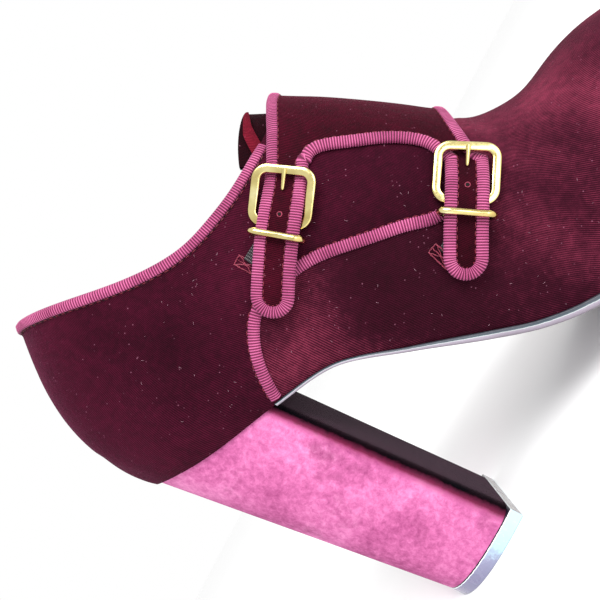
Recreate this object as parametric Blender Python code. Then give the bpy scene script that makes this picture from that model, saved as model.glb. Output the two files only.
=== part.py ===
"""Velvet monk-strap ankle boot with a high block heel, right foot.

X runs from the heel to the toe, Y from the outer side to the inner side and Z up.
The upper, tongue, flap, straps and ribbons all lie on one form, the last.
The last is a fan of sections that turns from upright at the toe to level at the ankle.
"""

import math
from collections import namedtuple

import bmesh
import bpy
import numpy as np
from mathutils import Matrix, Vector
from mathutils.bvhtree import BVHTree

MM = 0.001

# Main sizes of the shoe
LENGTH = 230.5 * MM
BALL_WIDTH = 82.0 * MM
HEEL_RISE = 103.0 * MM
ANKLE_HEIGHT = 62.0 * MM
TOE_SPRING = 10.0 * MM

# Thicknesses and the clearance between pieces
GAP = 0.3 * MM
WALL = 2.0 * MM
QUARTER_STEP = 0.7 * MM
SOLE_THICKNESS = 3.3 * MM
WAIST_THICKNESS = 1.2 * MM
SOLE_MARGIN = 0.8 * MM
INSOLE_THICKNESS = 2.0 * MM
INSOLE_CLEARANCE = 1.8 * MM
TONGUE_THICKNESS = 1.5 * MM
TONGUE_GAP = 0.5 * MM
TONGUE_SLACK = 1.3 * MM
STRAP_THICKNESS = 1.2 * MM
ELASTIC_THICKNESS = 0.5 * MM

# Heel block and its top piece
TIP_LENGTH = 33.5 * MM
TIP_WIDTH = 40.0 * MM
TIP_HEIGHT = 4.7 * MM
TIP_CHAMFER = 0.5 * MM
HEEL_SETBACK = 17.5 * MM
BREAST_SETBACK = 46.0 * MM
HEEL_NOSE_BOW = 2.5
SMALLEST_SHARE = 0.0008
HEEL_INSET = 0.3 * MM

# Ribbon that binds every edge
RIBBON_WIDTH = 3.2 * MM
RIBBON_THICKNESS = 0.6 * MM
RIBBON_OVERHANG = 1.0 * MM
RIM_GAP = 0.5 * MM
LINING_GAP = 0.7 * MM
LINING_LEG_SHARE = 0.7
FOLDED_END = ((0, 1, 2, 6), (6, 2, 3), (6, 3, 4, 5))
COLLAR_END = ((0, 1, 2), (0, 2, 3, 10), (10, 3, 4), (10, 4, 5, 9), (9, 5, 6), (9, 6, 7, 8))
LEVEL_RIM_FROM = 0.7

# Straps and their fittings
STRAP_WIDTH = 12.0 * MM
STRAP_1_LENGTH = 44.0 * MM
STRAP_2_LENGTH = 33.5 * MM
BUCKLE_LENGTH = 17.5 * MM
BUCKLE_WIDTH = 18.4 * MM
BUCKLE_BAR = 2.5 * MM
BUCKLE_THICKNESS = 1.8 * MM
BUCKLE_CORNER = 4.4 * MM
PRONG_LENGTH = 4.6 * MM
PRONG_RADIUS = 0.75 * MM
KEEPER_WIRE = 1.9 * MM
KEEPER_WIDTH = 16.4 * MM
FITTING_TURN = 3.0
STRAP_1_BUCKLE = 11.0 * MM
STRAP_1_KEEPER = 21.8 * MM
STRAP_2_BUCKLE = 5.6 * MM
STRAP_2_KEEPER = 16.4 * MM

# Heights of the layers above the last
BOUND_THICKNESS = STRAP_THICKNESS + GAP + RIBBON_THICKNESS
LIFT_LOW = QUARTER_STEP + GAP
LIFT_BAR = LIFT_LOW + BUCKLE_THICKNESS + 3 * GAP
LIFT_KEEPER = LIFT_LOW + ELASTIC_THICKNESS + KEEPER_WIRE + 2 * GAP
LIFT_TIP = LIFT_LOW + RIBBON_THICKNESS + 2 * GAP

# Each row is one section of the last, from the toe to the top of the ankle.
# front and back are the ends of the section in the middle plane. Their x is a share of LENGTH,
# rise is a share of HEEL_RISE and up is a share of ANKLE_HEIGHT.
# half and shift are shares of half the ball width, mid is where the section is widest,
# skew turns it about the upright, and front_bow and back_bow are its two curve exponents.
Section = namedtuple(
    "Section",
    "front_x front_rise front_up back_x back_rise back_up half shift mid skew front_bow back_bow",
)
SECTIONS = [
    Section(1.000, 0.00, 0.274, 1.000, 0.00, 0.272, 0.012, 0.110, 0.50, 0.00, 2.0, 2.0),
    Section(0.994, 0.00, 0.385, 0.996, 0.00, 0.105, 0.207, 0.110, 0.50, 0.00, 2.0, 2.6),
    Section(0.976, 0.00, 0.510, 0.983, 0.00, 0.065, 0.402, 0.102, 0.45, 0.02, 2.1, 3.0),
    Section(0.946, 0.00, 0.634, 0.957, 0.00, 0.032, 0.573, 0.093, 0.40, 0.04, 2.1, 3.4),
    Section(0.905, 0.00, 0.733, 0.918, 0.00, 0.003, 0.720, 0.080, 0.36, 0.07, 2.1, 3.6),
    Section(0.853, 0.00, 0.829, 0.861, 0.00, -0.029, 0.841, 0.068, 0.33, 0.10, 2.1, 3.8),
    Section(0.796, 0.00, 0.888, 0.800, 0.00, -0.052, 0.932, 0.049, 0.31, 0.15, 2.1, 3.8),
    Section(0.740, 0.00, 0.924, 0.733, 0.00, -0.060, 0.990, 0.034, 0.31, 0.20, 2.1, 3.8),
    Section(0.701, 0.00, 0.993, 0.666, 0.00, -0.056, 1.005, 0.024, 0.33, 0.24, 2.1, 3.6),
    Section(0.672, 0.10, 0.912, 0.597, 0.02, -0.053, 0.976, 0.010, 0.36, 0.24, 2.1, 3.6),
    Section(0.655, 0.20, 0.840, 0.527, 0.08, -0.060, 0.915, -0.005, 0.40, 0.20, 2.1, 3.4),
    Section(0.639, 0.30, 0.801, 0.458, 0.20, -0.122, 0.849, -0.015, 0.44, 0.14, 2.1, 3.2),
    Section(0.623, 0.40, 0.780, 0.395, 0.37, -0.130, 0.795, -0.020, 0.47, 0.08, 2.1, 3.0),
    Section(0.601, 0.50, 0.808, 0.334, 0.52, -0.122, 0.761, -0.020, 0.49, 0.04, 2.1, 3.0),
    Section(0.580, 0.60, 0.820, 0.271, 0.665, -0.121, 0.737, -0.015, 0.50, 0.02, 2.1, 3.0),
    Section(0.563, 0.67, 0.835, 0.193, 0.775, -0.118, 0.722, -0.007, 0.50, 0.00, 2.1, 3.0),
    Section(0.550, 0.72, 0.860, 0.104, 0.865, -0.106, 0.707, 0.000, 0.50, 0.00, 2.1, 2.9),
    Section(0.541, 0.75, 0.876, 0.045, 0.930, -0.077, 0.695, 0.000, 0.50, 0.00, 2.1, 2.6),
    Section(0.536, 0.77, 0.882, 0.018, 0.970, -0.015, 0.688, 0.000, 0.50, 0.00, 2.1, 2.3),
    Section(0.532, 0.78, 0.898, 0.008, 1.00, 0.065, 0.678, 0.000, 0.50, 0.00, 2.1, 2.1),
    Section(0.529, 0.79, 0.913, 0.007, 1.00, 0.226, 0.671, 0.000, 0.50, 0.00, 2.1, 2.0),
    Section(0.525, 0.80, 0.937, 0.016, 1.00, 0.403, 0.668, 0.000, 0.50, 0.00, 2.1, 2.0),
    Section(0.521, 0.81, 0.969, 0.041, 1.00, 0.613, 0.678, 0.000, 0.50, 0.00, 2.1, 2.0),
    Section(0.514, 0.83, 0.992, 0.074, 1.00, 0.782, 0.693, 0.000, 0.50, 0.00, 2.1, 2.0),
    Section(0.508, 0.85, 1.015, 0.107, 1.00, 0.919, 0.707, 0.000, 0.50, 0.00, 2.1, 2.0),
    Section(0.500, 0.87, 1.039, 0.141, 1.00, 1.056, 0.720, 0.000, 0.50, 0.00, 2.1, 2.0),
]

# Underside of the sole in the side view, from the heel seat to the toe.
# x is a share of LENGTH, rise of HEEL_RISE, spring of TOE_SPRING, and body says how far the
# thickness has grown from the waist's to the forefoot's.
SolePoint = namedtuple("SolePoint", "x rise spring body")
SOLE_LINE = [
    SolePoint(0.011, 0.983, 0.00, 0.0),
    SolePoint(0.093, 0.876, 0.00, 0.0),
    SolePoint(0.204, 0.765, 0.00, 0.0),
    SolePoint(0.276, 0.682, 0.00, 0.0),
    SolePoint(0.341, 0.506, 0.00, 0.2),
    SolePoint(0.400, 0.332, 0.00, 0.65),
    SolePoint(0.441, 0.228, 0.00, 0.75),
    SolePoint(0.486, 0.148, 0.00, 0.85),
    SolePoint(0.570, 0.047, 0.00, 1.0),
    SolePoint(0.649, 0.000, 0.00, 1.0),
    SolePoint(0.735, 0.000, 0.00, 1.0),
    SolePoint(0.805, 0.000, 0.09, 1.0),
    SolePoint(0.883, 0.000, 0.35, 1.0),
    SolePoint(1.000, 0.000, 1.00, 1.0),
]

# Lines drawn on the last. along runs from the toe (0) to the top of the ankle (1), and
# around from the ridge of the instep (0) to the middle of the sole or of the back (1).
LinePoint = namedtuple("LinePoint", "along around")
COLLAR_LINE = [
    LinePoint(0.972, 1.000),
    LinePoint(0.959, 0.850),
    LinePoint(0.929, 0.730),
    LinePoint(0.879, 0.616),
    LinePoint(0.843, 0.542),
    LinePoint(0.816, 0.480),
    LinePoint(0.793, 0.420),
    LinePoint(0.772, 0.372),
    LinePoint(0.747, 0.310),
    LinePoint(0.724, 0.240),
    LinePoint(0.706, 0.120),
    LinePoint(0.700, 0.000),
]
QUARTER_LINE = [
    LinePoint(0.690, 0.862),
    LinePoint(0.695, 0.835),
    LinePoint(0.702, 0.800),
    LinePoint(0.714, 0.735),
    LinePoint(0.718, 0.690),
    LinePoint(0.715, 0.658),
    LinePoint(0.700, 0.638),
    LinePoint(0.680, 0.625),
    LinePoint(0.650, 0.614),
    LinePoint(0.615, 0.606),
    LinePoint(0.580, 0.589),
    LinePoint(0.550, 0.568),
    LinePoint(0.520, 0.540),
    LinePoint(0.499, 0.485),
    LinePoint(0.485, 0.400),
    LinePoint(0.480, 0.300),
    LinePoint(0.490, 0.150),
    LinePoint(0.500, 0.000),
]
QUARTER_RIBBON_END = LinePoint(0.514, 0.530)
QUARTER_RIBBON_INNER_END = LinePoint(0.504, 0.503)
COLLAR_RIBBON_END = LinePoint(0.727, 0.260)

FLAP_BACK_LINE = [
    LinePoint(0.690, 0.604),
    LinePoint(0.703, 0.335),
    LinePoint(0.709, 0.236),
    LinePoint(0.722, 0.120),
    LinePoint(0.728, 0.000),
]
FLAP_FRONT_LINE = [
    LinePoint(0.506, 0.480),
    LinePoint(0.482, 0.448),
    LinePoint(0.462, 0.400),
    LinePoint(0.449, 0.345),
    LinePoint(0.446, 0.325),
    LinePoint(0.443, 0.210),
    LinePoint(0.440, 0.100),
    LinePoint(0.438, 0.000),
]
GAP_LINE = [
    LinePoint(0.651, 0.372),
    LinePoint(0.647, 0.352),
    LinePoint(0.640, 0.341),
    LinePoint(0.625, 0.334),
    LinePoint(0.595, 0.328),
    LinePoint(0.555, 0.313),
    LinePoint(0.528, 0.309),
    LinePoint(0.509, 0.313),
    LinePoint(0.496, 0.327),
    LinePoint(0.490, 0.348),
]
STRAP_1_LINE = [
    LinePoint(0.679, 0.349),
    LinePoint(0.682, 0.421),
    LinePoint(0.689, 0.506),
    LinePoint(0.696, 0.603),
    LinePoint(0.700, 0.720),
]
STRAP_2_LINE = [
    LinePoint(0.455, 0.345),
    LinePoint(0.469, 0.408),
    LinePoint(0.480, 0.461),
    LinePoint(0.493, 0.532),
    LinePoint(0.505, 0.606),
    LinePoint(0.521, 0.720),
]
STRAP_2_ROOT = [LinePoint(0.486, 0.352), LinePoint(0.441, 0.335)]
ELASTIC_1_START = [LinePoint(0.722, 0.505), LinePoint(0.679, 0.560)]
ELASTIC_1_END = [LinePoint(0.749, 0.533), LinePoint(0.716, 0.594)]
ELASTIC_2_START = [LinePoint(0.517, 0.562), LinePoint(0.490, 0.576)]
ELASTIC_2_END = [LinePoint(0.540, 0.609), LinePoint(0.525, 0.645)]
FLAP_SEAM_LINE = [
    LinePoint(0.690, 0.604),
    LinePoint(0.650, 0.586),
    LinePoint(0.615, 0.578),
    LinePoint(0.580, 0.561),
    LinePoint(0.550, 0.540),
    LinePoint(0.520, 0.509),
    LinePoint(0.506, 0.480),
]
TONGUE_START = 0.38
TONGUE_TOP = 0.803
TONGUE_TOP_DROP = 0.030
TONGUE_SPREAD = [
    LinePoint(0.38, 0.17),
    LinePoint(0.50, 0.22),
    LinePoint(0.62, 0.26),
    LinePoint(0.72, 0.29),
    LinePoint(0.81, 0.27),
]

# Sizes of the grids
FINE_ALONG = 161
FINE_FRONT = 24
FINE_BACK = 18
MESH_ALONG = 36
MESH_FRONT = 9
MESH_BACK = 6
STATION_STEP = 5.8 * MM
ROUND_END_STEPS = (0.1 * MM, 0.7 * MM, 2.2 * MM, 4.8 * MM)
COLLAR_STEPS = 28
QUARTER_STEPS = 26
FEATHER_STEPS = 40

FLOOR = 0.0


def natural_spline(knots, values, at):
    """Values of a natural cubic spline through rows of values at the given knots."""
    knots = np.asarray(knots, float)
    values = np.asarray(values, float)
    at = np.atleast_1d(np.asarray(at, float))
    count = len(knots)
    steps = np.diff(knots)
    system = np.zeros((count, count))
    right = np.zeros_like(values)
    system[0, 0] = 1.0
    system[-1, -1] = 1.0
    for i in range(1, count - 1):
        system[i, i - 1] = steps[i - 1]
        system[i, i] = 2 * (steps[i - 1] + steps[i])
        system[i, i + 1] = steps[i]
        rise_after = (values[i + 1] - values[i]) / steps[i]
        rise_before = (values[i] - values[i - 1]) / steps[i - 1]
        right[i] = 6 * (rise_after - rise_before)
    bends = np.linalg.solve(system, right)
    cell = np.clip(np.searchsorted(knots, at) - 1, 0, count - 2)
    width = steps[cell][:, None]
    after = (at - knots[cell])[:, None]
    before = width - after
    low = values[cell] / width - bends[cell] * width / 6
    high = values[cell + 1] / width - bends[cell + 1] * width / 6
    curved = (bends[cell] * before**3 + bends[cell + 1] * after**3) / (6 * width)
    return curved + low * before + high * after


def steady_spline(knots, values, at):
    """Values of a cubic that never overshoots its points, so flat stretches stay flat."""
    knots = np.asarray(knots, float)
    values = np.asarray(values, float)
    at = np.atleast_1d(np.asarray(at, float))
    steps = np.diff(knots)
    slopes = np.diff(values) / steps
    tangents = np.zeros(len(knots))
    tangents[0] = slopes[0]
    tangents[-1] = slopes[-1]
    for i in range(1, len(knots) - 1):
        if slopes[i - 1] * slopes[i] > 0:
            before = 2 * steps[i] + steps[i - 1]
            after = steps[i] + 2 * steps[i - 1]
            tangents[i] = (before + after) / (before / slopes[i - 1] + after / slopes[i])
    cell = np.clip(np.searchsorted(knots, at) - 1, 0, len(knots) - 2)
    width = steps[cell]
    t = (at - knots[cell]) / width
    inside = np.clip(t, 0.0, 1.0)
    result = (
        (2 * inside**3 - 3 * inside**2 + 1) * values[cell]
        + (inside**3 - 2 * inside**2 + inside) * width * tangents[cell]
        + (3 * inside**2 - 2 * inside**3) * values[cell + 1]
        + (inside**3 - inside**2) * width * tangents[cell + 1]
    )
    past_start = np.minimum(t, 0.0) * width * tangents[0]
    past_end = np.maximum(t - 1.0, 0.0) * width * tangents[-1]
    return result + past_start + past_end


def along_line(points, count):
    """Evenly spaced points of a smooth curve through a list of points."""
    points = np.asarray(points, float)
    lengths = np.linalg.norm(np.diff(points, axis=0), axis=1)
    knots = np.concatenate([[0.0], np.cumsum(lengths)])
    dense = natural_spline(knots, points, np.linspace(0.0, knots[-1], 40 * len(points)))
    travel = np.linalg.norm(np.diff(dense, axis=0), axis=1)
    travel = np.concatenate([[0.0], np.cumsum(travel)])
    wanted = np.linspace(0.0, travel[-1], count)
    return np.column_stack([np.interp(wanted, travel, dense[:, k]) for k in range(points.shape[1])])


def sole_under(x):
    """Height of the sole's underside at x."""
    shares = np.array([point.x for point in SOLE_LINE]) * LENGTH
    heights = np.array([p.rise * HEEL_RISE + p.spring * TOE_SPRING for p in SOLE_LINE])
    return steady_spline(shares, heights, x) + FLOOR


def sole_slope_stretch(x):
    """Upright thickness for each unit of thickness square to the sole."""
    step = 0.5 * MM
    slope = (sole_under(np.asarray(x) + step) - sole_under(np.asarray(x) - step)) / (2 * step)
    return np.sqrt(1 + slope**2)


def feather_height(x, above=0.0):
    """Height of the line where the upper meets the sole, plus a distance square to it."""
    shares = np.array([point.x for point in SOLE_LINE]) * LENGTH
    growth = steady_spline(shares, np.array([point.body for point in SOLE_LINE]), x)
    thickness = WAIST_THICKNESS + np.clip(growth, 0, 1) * (SOLE_THICKNESS - WAIST_THICKNESS)
    return sole_under(x) + (thickness + above) * sole_slope_stretch(x)


def section_loop(row, front_cells, back_cells):
    """Points around one section, from the ridge down the outer side and back up the inner."""
    section = Section(*row)
    front = np.array(
        [
            section.front_x * LENGTH,
            0.0,
            section.front_rise * HEEL_RISE + section.front_up * ANKLE_HEIGHT,
        ]
    )
    back = np.array(
        [
            section.back_x * LENGTH,
            0.0,
            section.back_rise * HEEL_RISE + section.back_up * ANKLE_HEIGHT,
        ]
    )
    middle = back + section.mid * (front - back)
    half = section.half * BALL_WIDTH / 2
    shift = section.shift * BALL_WIDTH / 2

    def quarter(reach, bow, cells):
        angle = np.linspace(0, math.pi / 2, 160)
        lengthwise = np.cos(angle) ** (2 / bow)
        sidewise = np.sin(angle) ** (2 / bow)
        steps = np.hypot(np.diff(lengthwise) * np.linalg.norm(reach), np.diff(sidewise) * half)
        travel = np.concatenate([[0.0], np.cumsum(steps)])
        wanted = np.linspace(0, travel[-1], cells + 1)
        return np.interp(wanted, travel, lengthwise), np.interp(wanted, travel, sidewise)

    front_share, front_side = quarter(front - middle, section.front_bow, front_cells)
    back_share, back_side = quarter(back - middle, section.back_bow, back_cells)
    outline = [(middle + a * (front - middle), b) for a, b in zip(front_share, front_side)]
    lower = [(middle + a * (back - middle), b) for a, b in zip(back_share, back_side)]
    outline += lower[::-1][1:]
    loop = [(point, -side) for point, side in outline]
    loop += [(point, side) for point, side in outline[::-1][1:-1]]
    points = []
    for point, side in loop:
        y = side * half + shift
        points.append(point + np.array([section.skew * y, y, 0.0]))
    return points


def section_rows(count):
    """Section values at evenly spaced places from the toe to the ankle."""
    table = np.array(SECTIONS)
    knots = [0.0]
    for before, after in zip(table, table[1:]):
        change = after - before
        front = (change[0] * LENGTH, change[1] * HEEL_RISE + change[2] * ANKLE_HEIGHT)
        back = (change[3] * LENGTH, change[4] * HEEL_RISE + change[5] * ANKLE_HEIGHT)
        side = change[6] * BALL_WIDTH / 2
        travel = 0.5 * (front[0] ** 2 + front[1] ** 2) + 0.5 * (back[0] ** 2 + back[1] ** 2)
        knots.append(knots[-1] + math.sqrt(travel + 0.3 * side**2))
    return natural_spline(knots, table, np.linspace(0, knots[-1], count))


def last_grid(along, front_cells, back_cells, offset=0.0):
    """Grid of points on the last, moved out by offset, and its outward normals."""
    rows = section_rows(along)
    points = np.array([section_loop(row, front_cells, back_cells) for row in rows])
    lengthwise = np.gradient(points, axis=0)
    round_about = (np.roll(points, -1, axis=1) - np.roll(points, 1, axis=1)) / 2
    normals = np.cross(round_about, lengthwise)
    normals[0] = [1.0, 0.0, 0.0]
    normals /= np.linalg.norm(normals, axis=2, keepdims=True)
    outward = points[along // 2, front_cells] - points[along // 2].mean(axis=0)
    if np.dot(normals[along // 2, front_cells], outward) < 0:
        normals[1:] *= -1
    return points + normals * offset, normals


class Last:
    """The form of the foot, as a surface that other pieces are laid on."""

    def __init__(self):
        self.points, self.normals = last_grid(FINE_ALONG, FINE_FRONT, FINE_BACK)
        self.around = self.points.shape[1]
        self.half_around = FINE_FRONT + FINE_BACK
        self.faces = []
        for i in range(FINE_ALONG - 1):
            for j in range(self.around):
                k = (j + 1) % self.around
                self.faces.append((self.corner(i, j), self.corner(i + 1, j),
                                   self.corner(i + 1, k), self.corner(i, k)))
        vertices = [Vector(p) for p in self.points.reshape(-1, 3)]
        self.flat_normals = self.normals.reshape(-1, 3)
        self.flat_points = self.points.reshape(-1, 3)
        self.tree = BVHTree.FromPolygons(vertices, self.faces)
        self.offset_trees = {}

    def corner(self, i, j):
        return i * self.around + j

    def at(self, along, around, offset=0.0):
        """Point and normal at a place on the last. A negative around is the inner side."""
        i = np.clip(along, 0, 1) * (FINE_ALONG - 1)
        j = (around * self.half_around) % self.around
        i0 = min(int(i), FINE_ALONG - 2)
        j0 = int(j) % self.around
        j1 = (j0 + 1) % self.around
        s = i - i0
        t = j - int(j)
        weights = ((i0, j0, (1 - s) * (1 - t)), (i0 + 1, j0, s * (1 - t)),
                   (i0, j1, (1 - s) * t), (i0 + 1, j1, s * t))
        point = sum(self.points[a, b] * w for a, b, w in weights)
        normal = sum(self.normals[a, b] * w for a, b, w in weights)
        normal = normal / np.linalg.norm(normal)
        return point + normal * offset, normal

    def smooth_normal(self, location, face):
        corners = self.faces[face]
        spread = [1e-7 + np.linalg.norm(self.flat_points[c] - location) for c in corners]
        normal = sum(self.flat_normals[c] / d for c, d in zip(corners, spread))
        return normal / np.linalg.norm(normal)

    def snap(self, point, offset=0.0):
        """Nearest place on the last to a point, moved out by offset, and the normal there."""
        location, _, face, _ = self.tree.find_nearest(Vector(point))
        location = np.array(location)
        normal = self.smooth_normal(location, face)
        return location + normal * offset, normal

    def tree_at(self, offset):
        """Search tree of the last's surface moved out by offset."""
        if offset not in self.offset_trees:
            moved = self.flat_points + self.flat_normals * offset
            self.offset_trees[offset] = BVHTree.FromPolygons([Vector(p) for p in moved], self.faces)
        return self.offset_trees[offset]

    def side(self, x, z, direction, offset=0.0):
        """Width coordinate of the last at x and z, on the side that direction names."""
        start = Vector((x, direction * 2 * BALL_WIDTH, z))
        hit = self.tree_at(offset).ray_cast(start, Vector((0, -direction, 0)))[0]
        return None if hit is None else hit.y

    def end(self, height_at, direction, offset=0.0):
        """Last x in one direction where the last crosses the height that height_at gives."""
        middle = SECTIONS[1].shift * BALL_WIDTH / 2 if direction > 0 else 0.0
        x = LENGTH if direction > 0 else 0.0
        for _ in range(6):
            start = Vector((x + direction * LENGTH, middle, float(height_at(x)[0])))
            hit = self.tree_at(offset).ray_cast(start, Vector((-direction, 0, 0)))[0]
            x = hit.x
        return x


LAST = Last()


def collection_for(name):
    group = bpy.data.collections.new(name)
    bpy.context.scene.collection.children.link(group)
    return group


def material(name, colour, roughness, metallic=0.0):
    """Principled material with one colour."""
    made = bpy.data.materials.new(name)
    made.use_nodes = True
    shader = made.node_tree.nodes["Principled BSDF"]
    shader.inputs["Base Color"].default_value = (*colour, 1.0)
    shader.inputs["Roughness"].default_value = roughness
    shader.inputs["Metallic"].default_value = metallic
    return made


def mesh_object(name, vertices, faces, surface=None, group=None):
    """Closed mesh object from points and faces, with its faces turned outward."""
    mesh = bpy.data.meshes.new(name)
    mesh.from_pydata([tuple(v) for v in vertices], [], faces)
    shape = bmesh.new()
    shape.from_mesh(mesh)
    bmesh.ops.recalc_face_normals(shape, faces=shape.faces)
    if shape.calc_volume(signed=True) < 0:
        bmesh.ops.reverse_faces(shape, faces=shape.faces)
    shape.to_mesh(mesh)
    shape.free()
    made = bpy.data.objects.new(name, mesh)
    (group or BOOT).objects.link(made)
    if surface is not None:
        mesh.materials.append(surface)
    mesh.shade_smooth()
    mesh.set_sharp_from_angle(angle=math.radians(50))
    return made


def grid_faces(rows, columns, wrap=False, first=0):
    """Quads of a grid of points that is numbered row by row."""
    faces = []
    for i in range(rows - 1):
        for j in range(columns if wrap else columns - 1):
            k = (j + 1) % columns
            a = first + i * columns
            b = a + columns
            faces.append((a + j, b + j, b + k, a + k))
    return faces


def last_solid(name, offset):
    """Closed solid of the last moved out by offset, kept as a cutter."""
    points, _ = last_grid(MESH_ALONG, MESH_FRONT, MESH_BACK, offset)
    around = points.shape[1]
    toe = points[0].mean(axis=0)
    vertices = [toe] + list(points[1:].reshape(-1, 3))
    faces = grid_faces(MESH_ALONG - 1, around, wrap=True, first=1)
    faces += [(0, 1 + j, 1 + (j + 1) % around) for j in range(around)]
    last_row = 1 + (MESH_ALONG - 2) * around
    faces.append(tuple(last_row + j for j in range(around)))
    return cutter(mesh_object(name, vertices, faces, group=CUTTERS))


def cutter(made):
    made.hide_render = True
    made.display_type = "WIRE"
    return made


def side_prism(name, outline):
    """Cutter with a side-view outline that runs right through the shoe."""
    reach = BALL_WIDTH
    count = len(outline)
    vertices = [(x, -reach, z) for x, z in outline] + [(x, reach, z) for x, z in outline]
    faces = [tuple(range(count)), tuple(range(2 * count - 1, count - 1, -1))]
    faces += [(i, (i + 1) % count, count + (i + 1) % count, count + i) for i in range(count)]
    return cutter(mesh_object(name, vertices, faces, group=CUTTERS))


def combine(base, tool, operation):
    """Exact Boolean of two meshes, kept as a modifier on the first."""
    change = base.modifiers.new(operation.title() + " " + tool.name, "BOOLEAN")
    change.operation = operation
    change.object = tool
    change.solver = "EXACT"


def settled(made, name, surface):
    """New mesh object with the evaluated shape of another, in the boot's collection."""
    graph = bpy.context.evaluated_depsgraph_get()
    mesh = bpy.data.meshes.new_from_object(made.evaluated_get(graph))
    mesh.name = name
    mesh.materials.clear()
    result = bpy.data.objects.new(name, mesh)
    BOOT.objects.link(result)
    mesh.materials.append(surface)
    mesh.shade_smooth()
    mesh.set_sharp_from_angle(angle=math.radians(50))
    return result


def line_on_last(line, count):
    """Evenly spaced points of a line on the last's outer side."""
    return along_line([LAST.at(p.along, p.around)[0] for p in line], count)


def line_in_side_view(line, count):
    """Side-view points of a line on the last."""
    return [(p[0], p[2]) for p in line_on_last(line, count)]


def on_side(point, side):
    """Place and normal of the last behind the side-view position of a point."""
    y = LAST.side(point[0], point[2], side)
    if y is None:
        y = side * abs(point[1])
    return LAST.snap((point[0], y, point[2]))


def feather_outline(start, stop, count):
    """Side-view points of the feather line."""
    xs = np.linspace(start, stop, count)
    return list(zip(xs, feather_height(xs)))


def build_upper():
    """Vamp, quarters and counter as one hollow wall, stepped where the quarters overlap."""
    outer = last_solid("Last outside", 0.0)
    raised = last_solid("Last outside of quarters", QUARTER_STEP)
    inner = last_solid("Last inside", -WALL)
    margin = 0.1 * LENGTH
    top = HEEL_RISE + 2 * ANKLE_HEIGHT

    edge = line_in_side_view(QUARTER_LINE, QUARTER_STEPS)
    foot = (edge[0][0], edge[0][1] - margin)
    region = [(-margin, edge[0][1] - margin), foot] + edge
    region += [(edge[-1][0] + margin, top), (-margin, top)]
    combine(raised, side_prism("Quarter side view", region), "INTERSECT")
    combine(outer, raised, "UNION")

    collar = line_in_side_view(COLLAR_LINE, COLLAR_STEPS)
    back = collar[0]
    front = collar[-1]
    region = feather_outline(-margin, LENGTH + margin, FEATHER_STEPS)
    region += [(LENGTH + margin, top), (front[0] + margin, top)]
    region += collar[::-1]
    slope = (back[1] - collar[1][1]) / (back[0] - collar[1][0])
    region.append((back[0] - margin, back[1] - margin * slope))
    combine(outer, side_prism("Upper side view", region), "INTERSECT")
    combine(outer, inner, "DIFFERENCE")
    return settled(outer, "upper", VELVET)


def stations(height_at, offset, start=None):
    """Cross sections of a sole piece from its back to its toe, closer together at round ends."""
    first = LAST.end(height_at, -1, offset) if start is None else start
    final = LAST.end(height_at, 1, offset)
    count = round(LENGTH / STATION_STEP)
    regular = [LENGTH * k / count for k in range(count + 1)]
    behind = [first + d for d in ROUND_END_STEPS] if start is None else [first]
    ahead = [final - d for d in reversed(ROUND_END_STEPS)]
    room = 0.4 * STATION_STEP
    middle = [x for x in regular if behind[-1] + room < x < ahead[0] - room]
    return behind + middle + ahead


def footprint(places, offset, height_at):
    """Place, outer and inner width coordinates of the last at each cross section."""
    rows = []
    for x in places:
        z = float(height_at(x)[0])
        rows.append((x, LAST.side(x, z, -1, offset), LAST.side(x, z, 1, offset)))
    return rows


def slab(name, rows, across, top_at, bottom_at, surface):
    """Flat-lying solid over a footprint, between two heights."""
    vertices = []
    count = len(rows)
    for height_at in (top_at, bottom_at):
        for x, outer, inner in rows:
            z = float(height_at(x)[0])
            for k in range(across + 1):
                vertices.append((x, outer + (inner - outer) * k / across, z))
    columns = across + 1
    faces = grid_faces(count, columns)
    below = count * columns
    faces += [tuple(reversed(face)) for face in grid_faces(count, columns, first=below)]
    rim = [i * columns for i in range(count)]
    rim += [(count - 1) * columns + k for k in range(1, columns)]
    rim += [i * columns + across for i in range(count - 2, -1, -1)]
    rim += list(range(across - 1, 0, -1))
    for a, b in zip(rim, rim[1:] + rim[:1]):
        faces.append((a, b, below + b, below + a))
    return mesh_object(name, vertices, faces, surface)


def build_outsole():
    """Outsole from the heel breast to the toe, thin at the waist."""
    places = stations(feather_height, SOLE_MARGIN, BREAST_SETBACK + GAP)
    rows = footprint(places, SOLE_MARGIN, feather_height)
    return slab(
        "outsole", rows, 2,
        lambda x: feather_height(x, -GAP),
        sole_under,
        SOLE_LEATHER,
    )


def build_insole():
    """Insole board inside the wall, from the seat to the toe."""
    inset = -WALL - INSOLE_CLEARANCE
    rows = footprint(stations(feather_height, inset), inset, feather_height)
    return slab(
        "insole", rows, 2,
        lambda x: feather_height(x, INSOLE_THICKNESS),
        feather_height,
        LINING,
    )


def heel_share(k, steps):
    """Share of the heel's length at a step of its outline, closer together at the back."""
    return 1 - math.cos(0.5 * math.pi * k / steps)


def d_outline(back, front, half, steps):
    """Plan outline with a flat front and a round back, from the back down the outer side."""
    side = []
    for k in range(1, steps + 1):
        share = heel_share(k, steps)
        y = half * (1 - (1 - share) ** HEEL_NOSE_BOW) ** (1 / HEEL_NOSE_BOW)
        side.append((back + (front - back) * share, y))
    return side


def closed_ring(back, outer_side, inner_side, breast_cells):
    """Loop of points from the back along the outer side, over the breast and back."""
    ring = [back] + outer_side
    start = np.array(outer_side[-1])
    stop = np.array(inner_side[-1])
    ring += [tuple(start + (stop - start) * k / breast_cells) for k in range(1, breast_cells)]
    return ring + inner_side[::-1]


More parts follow.
